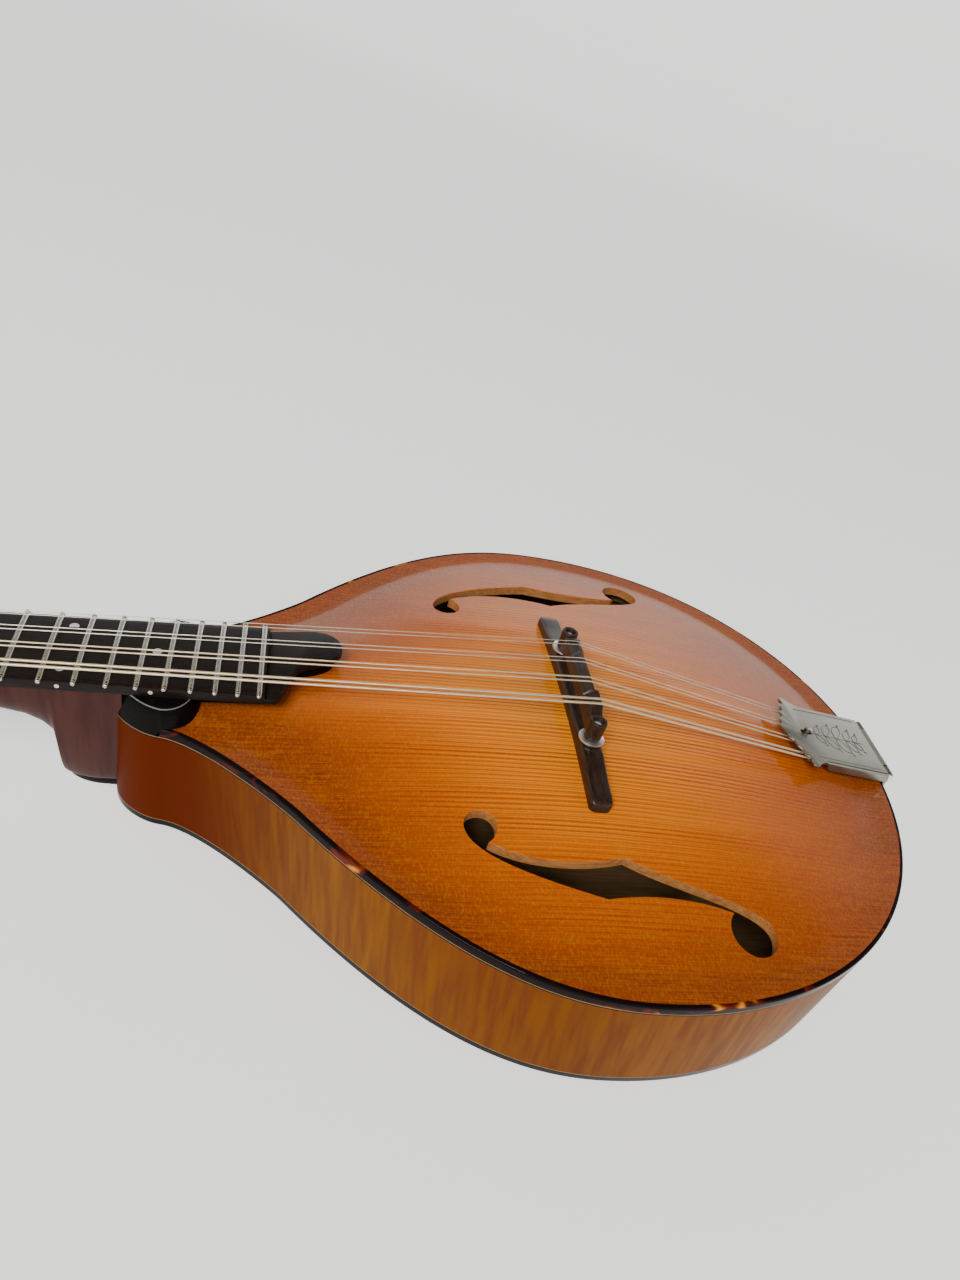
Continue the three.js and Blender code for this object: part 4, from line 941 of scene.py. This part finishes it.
string_y = [course * BAND_HALF + hand * 1.21 for course in COURSES for hand in (-1, 1)]
cut(saddle, together(*[tube([(BRIDGE_X + d, y, crest_line(y)[0] + 0.28) for d in (-6, 8)], 0.42)
                       for y in string_y]))

thread = [(1.6 if k % 3 else 1.42, z) for k, z in enumerate(np.arange(12.6, 24.3, 0.233))]
stud = lathe([(0, 12.5)] + thread + [(0, 24.35)], 24)
WHEEL = ((4.55, 16.5), (4.85, 16.7), (4.9, 17.05), (4.85, 17.4), (4.55, 17.6), (1.75, 17.6), (1.75, 16.5))
# Every second point of the wheel's rim is set in, for the knurl.
knurl = lambda r, k: r - (0.07 if k % 2 and r > 4.6 else 0)
wheel = [[(knurl(r, k) * math.cos(a), knurl(r, k) * math.sin(a), z) for k, a in enumerate(around(120))]
         for r, z in WHEEL + WHEEL[:1]]
for side_name, stud_here, wheel_here in zip(SIDES, at_studs(stud), at_studs(skin(wheel, caps=False))):
    piece(f"bridge_stud_{side_name}", stud_here, STEEL, replaces=f"bridge_post_{side_name}", smooth=60)
    piece(f"thumbwheel_{side_name}_knurled", wheel_here, BRIGHT_NICKEL, body=f"thumbwheel_{side_name}",
          replaces=f"thumbwheel_{side_name}", smooth=40)

# ---------------- tailpiece
COVER_SLOPE = (11.1 - 6.8) / (HINGE_X - 100)
cover_z = lambda x, y=0: 6.8 + (HINGE_X - np.asarray(x, float)) * COVER_SLOPE
straight = [(141.6, 0), (141.6, 16.6), (110, 16.6)]
scalloped = [(110, 17.45), (107.2, 18.2), (105.0, 19.8), (103.6, 21.2), (102.2, 21.35), (101.2, 20.4),
             (100.9, 19.0), (101.7, 17.6), (101.3, 16.6), (100.0, 15.6), (99.4, 14.4), (99.9, 12.8),
             (99.2, 11.6), (98.0, 10.8), (97.4, 9.6), (97.9, 8.2), (97.0, 7.0), (95.9, 6.2), (95.3, 5.0),
             (95.9, 3.6), (95.3, 2.4), (94.6, 1.4), (94.4, 0)]
cover_edge = both_sides(np.vstack([straight, rounded(scalloped, 0.9, 3)]))
sheet = prism(cover_edge, lambda x, y: cover_z(x) - 0.9, cover_z, 0.28, 0.2)
skirts = []
for side in (1, -1):
    rings = []
    for x in np.r_[110, 111, 112.5, np.linspace(114, 141.4, 24)]:
        drop = np.interp(x, [110, 111, 112.5, 114], [0.9, 2.6, 4.0, 4.4])
        section = [(16.55, 0.0), *arc(16.55, -0.95, 0.95, math.pi / 2 - 0.2, 0, 5), (17.5, -drop + 0.15),
                   (17.35, -drop), (16.75, -drop), (16.6, -drop + 0.15), (16.6, -1.3), (16.3, -0.9),
                   (16.0, -0.9)]
        rings.append([(x, side * y, float(cover_z(x)) + z) for y, z in section])
    skirts.append(skin(rings))
barrel = [slice_at(y, circle(1.6, 28) + (HINGE_X, HINGE_Z)) for y in (-11.5, -11.4, 0, 11.4, 11.5)]
lip_section = [(140.2, 6.15), (140.2, 7.0), (141.8, 7.03), (HINGE_X, 6.98), (HINGE_X, 6.0), (141.5, 6.1)]
lip = skin([slice_at(y, lip_section) for y in (-11.5, 0, 11.5)])
cover = piece("tailpiece_cover_sheet", together(sheet, *skirts, skin(barrel), lip), NICKEL,
              body="tailpiece_cover", replaces="tailpiece_cover", smooth=32)
catch_slot = traced((104.9, 1.2), arc(104.9, 0, 1.2, math.pi / 2, 3 * math.pi / 2, 10),
                    arc(108.2, 0, 1.2, -math.pi / 2, math.pi / 2, 10))
cut(cover, prism(catch_slot, 0, 20, 0))
hook = np.array([(106.5, 0, 6.5), (106.5, 0, 11.2), (106.9, 0, 12.0), (107.8, 0, 12.1), (108.6, 0, 11.6)])
piece("tailpiece_catch", tube(spaced(hook, 0.4), 0.62, 12), BRIGHT_NICKEL, smooth=60)


def scroll(x, y, hand):
    """A small spiral that opens into a stem."""
    a = np.linspace(0, 1.1 * FULL_TURN, 40)
    r = 0.75 * (0.12 + 0.88 * a / a[-1])
    return np.c_[x + r * np.cos(hand * (0.5 + a)), y + r * np.sin(hand * (0.5 + a))]


strokes = [bezier(108.8, 0, 117, 0, 127, 0, 136.5, 0, steps=30)]
for hand in (1, -1):
    for x, reach in ((111.5, 5.2), (116.5, 7.4), (122, 8.2), (127.5, 6.6), (132, 4.6)):
        tip_x, tip_y = x + 0.62 * reach, hand * reach
        strokes += [bezier(x, 0, x - 0.6, 0.7 * tip_y, x + 1.4, tip_y, tip_x, tip_y, steps=18),
                    bezier(x, 0, x + 2.2, 0.1 * tip_y, tip_x + 0.8, 0.5 * tip_y, tip_x, tip_y, steps=18),
                    scroll(tip_x + 0.2, tip_y + hand, hand)]
    strokes.append(bezier(106.5, hand * 14.6, 116, hand * 15.0, 128, hand * 15.0, 139, hand * 15.0, steps=30))
grooves = [tube(np.c_[p, cover_z(p[:, 0]) + 0.01], 0.11, 6) for p in (spaced(s, 0.35) for s in strokes)]
piece("tailpiece_flourish", together(*grooves), ENGRAVED, body="tailpiece_cover", smooth=60)
hinge_pin = lathe([(0, -17.5), (1.2, -17.45), (1.5, -16.9), (1.5, -16.4), (0.8, -16.2), (0.8, 16.2),
                   (1.3, 16.3), (1.3, 16.7), (0, 16.8)], 24)
piece("hinge_pin_headed", put(hinge_pin, shift(HINGE_X, 0, HINGE_Z) @ turn("X", -90)), BRIGHT_NICKEL,
      replaces="tailpiece_hinge_pin", smooth=40)

end_pin = turned([(2.6, 118), (3, 121), (3, 147.2), (8, 147.2), (8, 148.6), (4.6, 151), (4.2, 154),
                  (6.6, 156.5), (7.2, 159), (6.6, 161.2), (4.5, 161.9)], 0.7, 48, tip=162)
piece("end_pin_turned", put(end_pin, shift(0, 0, -24) @ turn("Y", 90)), BLACK_GLOSS, replaces="end_pin")

# ---------------- tuning machines
PLATE_TOP = HEAD_BACK - 0.3
GEAR_TOP = PLATE_TOP - 1.3
WORM_Z = GEAR_TOP - 2.4
PLATE_ENDS = (FIRST_POST - 3 * POST_PITCH - 6, -22)      # the middles of the plates' end corners
screw_head = turned([(2.1, 0), (2.1, -0.35), (1.2, -0.95), (0.05, -1.1)], 0.3, 24)
for side_name, side in SIDES.items():
    corners = [(PLATE_ENDS[1], 2.9), (PLATE_ENDS[0], 2.9), (PLATE_ENDS[0], -2.9), (PLATE_ENDS[1], -2.9)]
    line = np.vstack([arc(x, POST_Y + dy, 2.0, k * math.pi / 2, (k + 1) * math.pi / 2, 6)
                      for k, (x, dy) in enumerate(corners)])
    plate = piece(f"tuner_plate_{side_name}_stamped",
                  prism(line * (1, side), PLATE_TOP - 1, PLATE_TOP, 0.1, 0.35), NICKEL, HEAD,
                  replaces=f"tuner_plate_{side_name}", smooth=32)
    well = lathe([(3.25, -30), (3.25, 5)], 28)
    cut(plate, at_posts(well, [side]), matrix=HEAD)
    screws = at_posts(screw_head, [side], POST_PITCH / 2, PLATE_TOP - 1)
    piece(f"tuner_screws_{side_name}", screws, BRIGHT_NICKEL, HEAD, smooth=40)

stem = turned([(2.2, GEAR_TOP - 4.1), (3, GEAR_TOP - 3.4), (3, 3.4), (2.4, 4), (2.4, 5.4), (3, 6), (3, 8),
               (2, 8.8)], 0.35, 36)
TEETH, TOOTH = 14, ((0, 3.75), (0.12, 3.75), (0.3, 4.55), (0.62, 4.55), (0.8, 3.75))  # share of pitch, radius
teeth = [(r * math.cos(start + share * FULL_TURN / TEETH), r * math.sin(start + share * FULL_TURN / TEETH))
         for start in around(TEETH) for share, r in TOOTH]
post = together(stem, prism(teeth, GEAR_TOP - 3, GEAR_TOP, 0.2, 0.2, 2))
bushing = lathe([(3.15, -1), (3.15, 0.9), (3.5, 1.0), (5.0, 0.75), (5.3, 0.35), (5.3, 0.02), (3.9, 0.02),
                 (3.9, -1)], 36)
core = lathe([(0, -8.2), (1.5, -8.1), (1.5, -5.6), (1.9, -5.5), (1.9, 5.5), (1.5, 5.6), (1.5, 22),
              (2.3, 22.6), (2.3, 24), (0, 24)], 28)
angles = np.linspace(0, 5 * FULL_TURN, 160)
helix = np.c_[1.95 * np.cos(angles), 1.95 * np.sin(angles), -5.2 + 10.4 * angles / angles[-1]]
worm = together(core, tube(helix, 0.45, 8))
full = lambda v: math.copysign(abs(v) ** 0.9, v)
rings = []
for t in np.linspace(0, 1, 18):
    wide = 6.2 * math.sin(math.pi * (0.06 + 0.88 * t)) ** 0.75
    thick = 3.2 * (0.55 + 0.45 * math.sin(math.pi * t)) * (1 if 0.02 < t < 0.98 else 0.6)
    rings.append([(wide * full(math.cos(a)), thick * full(math.sin(a)), 21 + 16 * t) for a in around(36)])
button = skin(rings)
for name, side, x in posts:
    here = shift(x, side * POST_Y, 0)
    piece(f"tuner_post_{name}_turned", put(post, here), NICKEL, HEAD, body=f"tuner_post_{name}",
          replaces=f"tuner_post_{name}", smooth=32)
    piece(f"tuner_bushing_{name}", put(bushing, here), BRIGHT_NICKEL, HEAD)
    across = here @ shift(7.4, 0, WORM_Z) @ turn("X", -90 * side)
    piece(f"tuner_worm_{name}_cut", put(worm, across), BRIGHT_NICKEL, HEAD, body=f"tuner_worm_{name}",
          replaces=f"tuner_worm_{name}", smooth=40)
    piece(f"tuner_button_{name}", put(button, across), BUTTON, HEAD, body=f"tuner_worm_{name}", smooth=50)

# ---------------- strings
# Each string's name, its post and its radius, from the bass edge to the treble edge.
STRINGS = [("g_outer", "bass_1", 0.51), ("g_inner", "bass_2", 0.51), ("d_outer", "bass_3", 0.33),
           ("d_inner", "bass_4", 0.33), ("a_inner", "treble_4", 0.21), ("a_outer", "treble_3", 0.21),
           ("e_inner", "treble_2", 0.16), ("e_outer", "treble_1", 0.16)]
COIL_TURNS = 3.2
places = {post: (side, x) for post, side, x in posts}


def bent(made, start, end):
    """Takes a string's piece off its body and bakes its place into its mesh. start and end, in the body's
    frame, are not used.
    """
    made.parent = None
    start, end = (tuple(moved([point], BODY)[0] / 1000) for point in (start, end))
    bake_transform(made)


for i, (name, post_name, radius) in enumerate(STRINGS):
    course, hand = COURSES[i // 2], (1 if i % 2 else -1)
    side, post_x = places[post_name]
    at_nut, at_saddle, at_tail = course * 10.65 + hand * 1.03, string_y[i], course * 12.5 + hand * 1.3
    nut_z = 0.95 - at_nut ** 2 / (2 * CROWN_RADIUS) + radius
    off_post = moved([(post_x + 1, side * (POST_Y - 2.45 - radius), 4.7)], HEAD_IN_BODY)[0]
    nut_back, nut_front = moved([(-4.3, at_nut, nut_z - 0.12), (-0.2, at_nut, nut_z)], NECK_IN_BODY)
    saddle_z, saddle_x = crest_line(at_saddle)
    rest = np.array([saddle_x, at_saddle, saddle_z + radius * 0.35])
    after = np.array([99.0, at_saddle + (at_tail - at_saddle) * 0.82, 9.3])
    tail = np.array([120.6, at_tail, 7.1])
    before = rest - unit(rest - nut_front) * 0.4
    front = rounded([off_post, nut_back, nut_front, before], 1.2)
    front = np.vstack([front[:-1], np.linspace(front[-2], before, 40)[1:]])
    look = BRONZE if i < 4 else PLAIN_STRING
    speaking = piece(f"string_{name}_speaking", tube(front, radius), look, replaces=f"string_{name}",
                     smooth=60)
    bent(speaking, nut_front, rest)
    back = rounded([before, rest, rest + (after - rest) * 0.02, after, tail], 1.5, 5)
    behind = piece(f"string_{name}_tail", tube(spaced(back, 2.5), radius), look, smooth=60)
    bent(behind, rest, after)
    turns = np.linspace(0, COIL_TURNS, 90)
    angles = -side * (FULL_TURN * turns + math.pi / 2)
    coil = np.c_[post_x + (2.4 + radius) * np.cos(angles), side * POST_Y + (2.4 + radius) * np.sin(angles),
                 5.05 - turns * 1.025 * radius]
    piece(f"string_{name}_winding", tube(coil, radius, 8), look, HEAD, body=f"tuner_post_{post_name}",
          smooth=60)

# ---------------- carried-over nodes
linings = [f"{part}_{side_name}" for part in ("top_lining", "back_lining", "tone_bar") for side_name in SIDES]
for look, nodes in ((INSIDE_WOOD, ["head_block", "tail_block", *linings]), (STEEL, ["truss_rod"]),
                    (BRASS, ["truss_rod_nut"]), (NICKEL, ["tailpiece_base"])):
    for node in nodes:
        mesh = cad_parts[node].data
        mesh.materials.clear()
        mesh.materials.append(look)

# ---------------- stage, light and camera
PAPER = (0.80, 0.806, 0.79)
paper = Look("backdrop_paper", PAPER, Roughness=0.9, Specular_IOR_Level=0.0, Emission_Strength=0.92)
glow = paper.ramp(paper.attribute("far")["Fac"], (0.0, PAPER), (1.0, tuple(1.3 * c for c in PAPER)))
paper.set(Emission_Color=glow)

# The backdrop's section away from the camera: a flat floor, then a curve up. In metres.
sweep = [*((d, 0.0) for d in (-4.0, 0.4, 0.9, 1.5, 2.0, 2.6)), *arc(2.6, 1.2, 1.2, 0.1 - math.pi / 2, 0, 13),
         (3.8, 1.75)]
away = Vector((0.351, 0.936)).normalized()
rows = [[(away.x * d + away.y * s, away.y * d - away.x * s, z - 0.0005) for s in (-6, 0, 6)]
        for d, z in sweep]
paper_mesh = bpy.data.meshes.new("backdrop")
paper_mesh.from_pydata(sum(rows, []), [], [(i * 3 + k, i * 3 + k + 1, i * 3 + k + 4, i * 3 + k + 3)
                                           for i in range(len(rows) - 1) for k in range(2)])
paper_mesh.materials.append(paper.material)
mark(paper_mesh, "far", np.repeat([np.clip((d + z - 0.6) / 2.6, 0, 1) for d, z in sweep], 3))
paper_mesh.shade_smooth()
backdrop = bpy.data.objects.new("backdrop", paper_mesh)
bpy.context.scene.collection.objects.link(backdrop)


def soft_light(name, where, size, power, color=(1, 1, 1)):
    """A square lamp that faces the instrument's middle."""
    data = bpy.data.lights.new(name, "AREA")
    data.shape, data.size, data.energy, data.color = "SQUARE", size, power, color
    made = bpy.data.objects.new(name, data)
    made.location = where
    made.rotation_mode = "QUATERNION"
    made.rotation_quaternion = (Vector((0, 0, 0.05)) - Vector(where)).to_track_quat("-Z", "Y")
    bpy.context.scene.collection.objects.link(made)


soft_light("key", (-1.2, -1.5, 1.7), 0.9, 42, (1.0, 0.985, 0.96))
soft_light("fill", (1.5, -1.4, 1.3), 1.2, 8, (0.97, 0.985, 1.0))
soft_light("glint", (-0.55, -1.3, 1.35), 0.16, 9)

# The room: pale all round and dark overhead, with the dark part leaning towards +X.
world = bpy.data.worlds.new("studio")
world.use_nodes = True
bpy.context.scene.world = world
tree = world.node_tree
coordinates, split, ramp, lean = (tree.nodes.new("ShaderNode" + kind)
                                  for kind in ("TexCoord", "SeparateXYZ", "ValToRGB", "Math"))
lean.operation = "MULTIPLY_ADD"
lean.inputs[1].default_value = 0.25
background = tree.nodes["Background"].inputs
for output, target in ((coordinates.outputs["Generated"], split.inputs[0]),
                       (split.outputs["X"], lean.inputs[0]), (split.outputs["Z"], lean.inputs[2]),
                       (lean.outputs[0], ramp.inputs[0]), (ramp.outputs["Color"], background["Color"])):
    tree.links.new(output, target)
pale, dark = ramp.color_ramp.elements
pale.position, pale.color = 0.74, (0.85, 0.86, 0.86, 1)
dark.position, dark.color = 0.84, (0.03, 0.03, 0.03, 1)
background["Strength"].default_value = 0.62

camera_data = bpy.data.cameras.new("camera")
camera_data.lens, camera_data.sensor_width, camera_data.shift_y = 24.25, 36, 0.10
camera_data.clip_start, camera_data.clip_end = 0.02, 30
camera = bpy.data.objects.new("camera", camera_data)
right, up, ahead = (Vector(v) for v in ((0.9608, -0.1182, 0.2507), (-0.0949, 0.7096, 0.6982),
                                        (0.2604, 0.6947, -0.6705)))
pose = Matrix((right, up, -ahead)).transposed().to_4x4()
pose.translation = Vector((-0.1190, -0.2474, 0.2704))
camera.matrix_world = pose
bpy.context.scene.collection.objects.link(camera)
bpy.context.scene.camera = camera
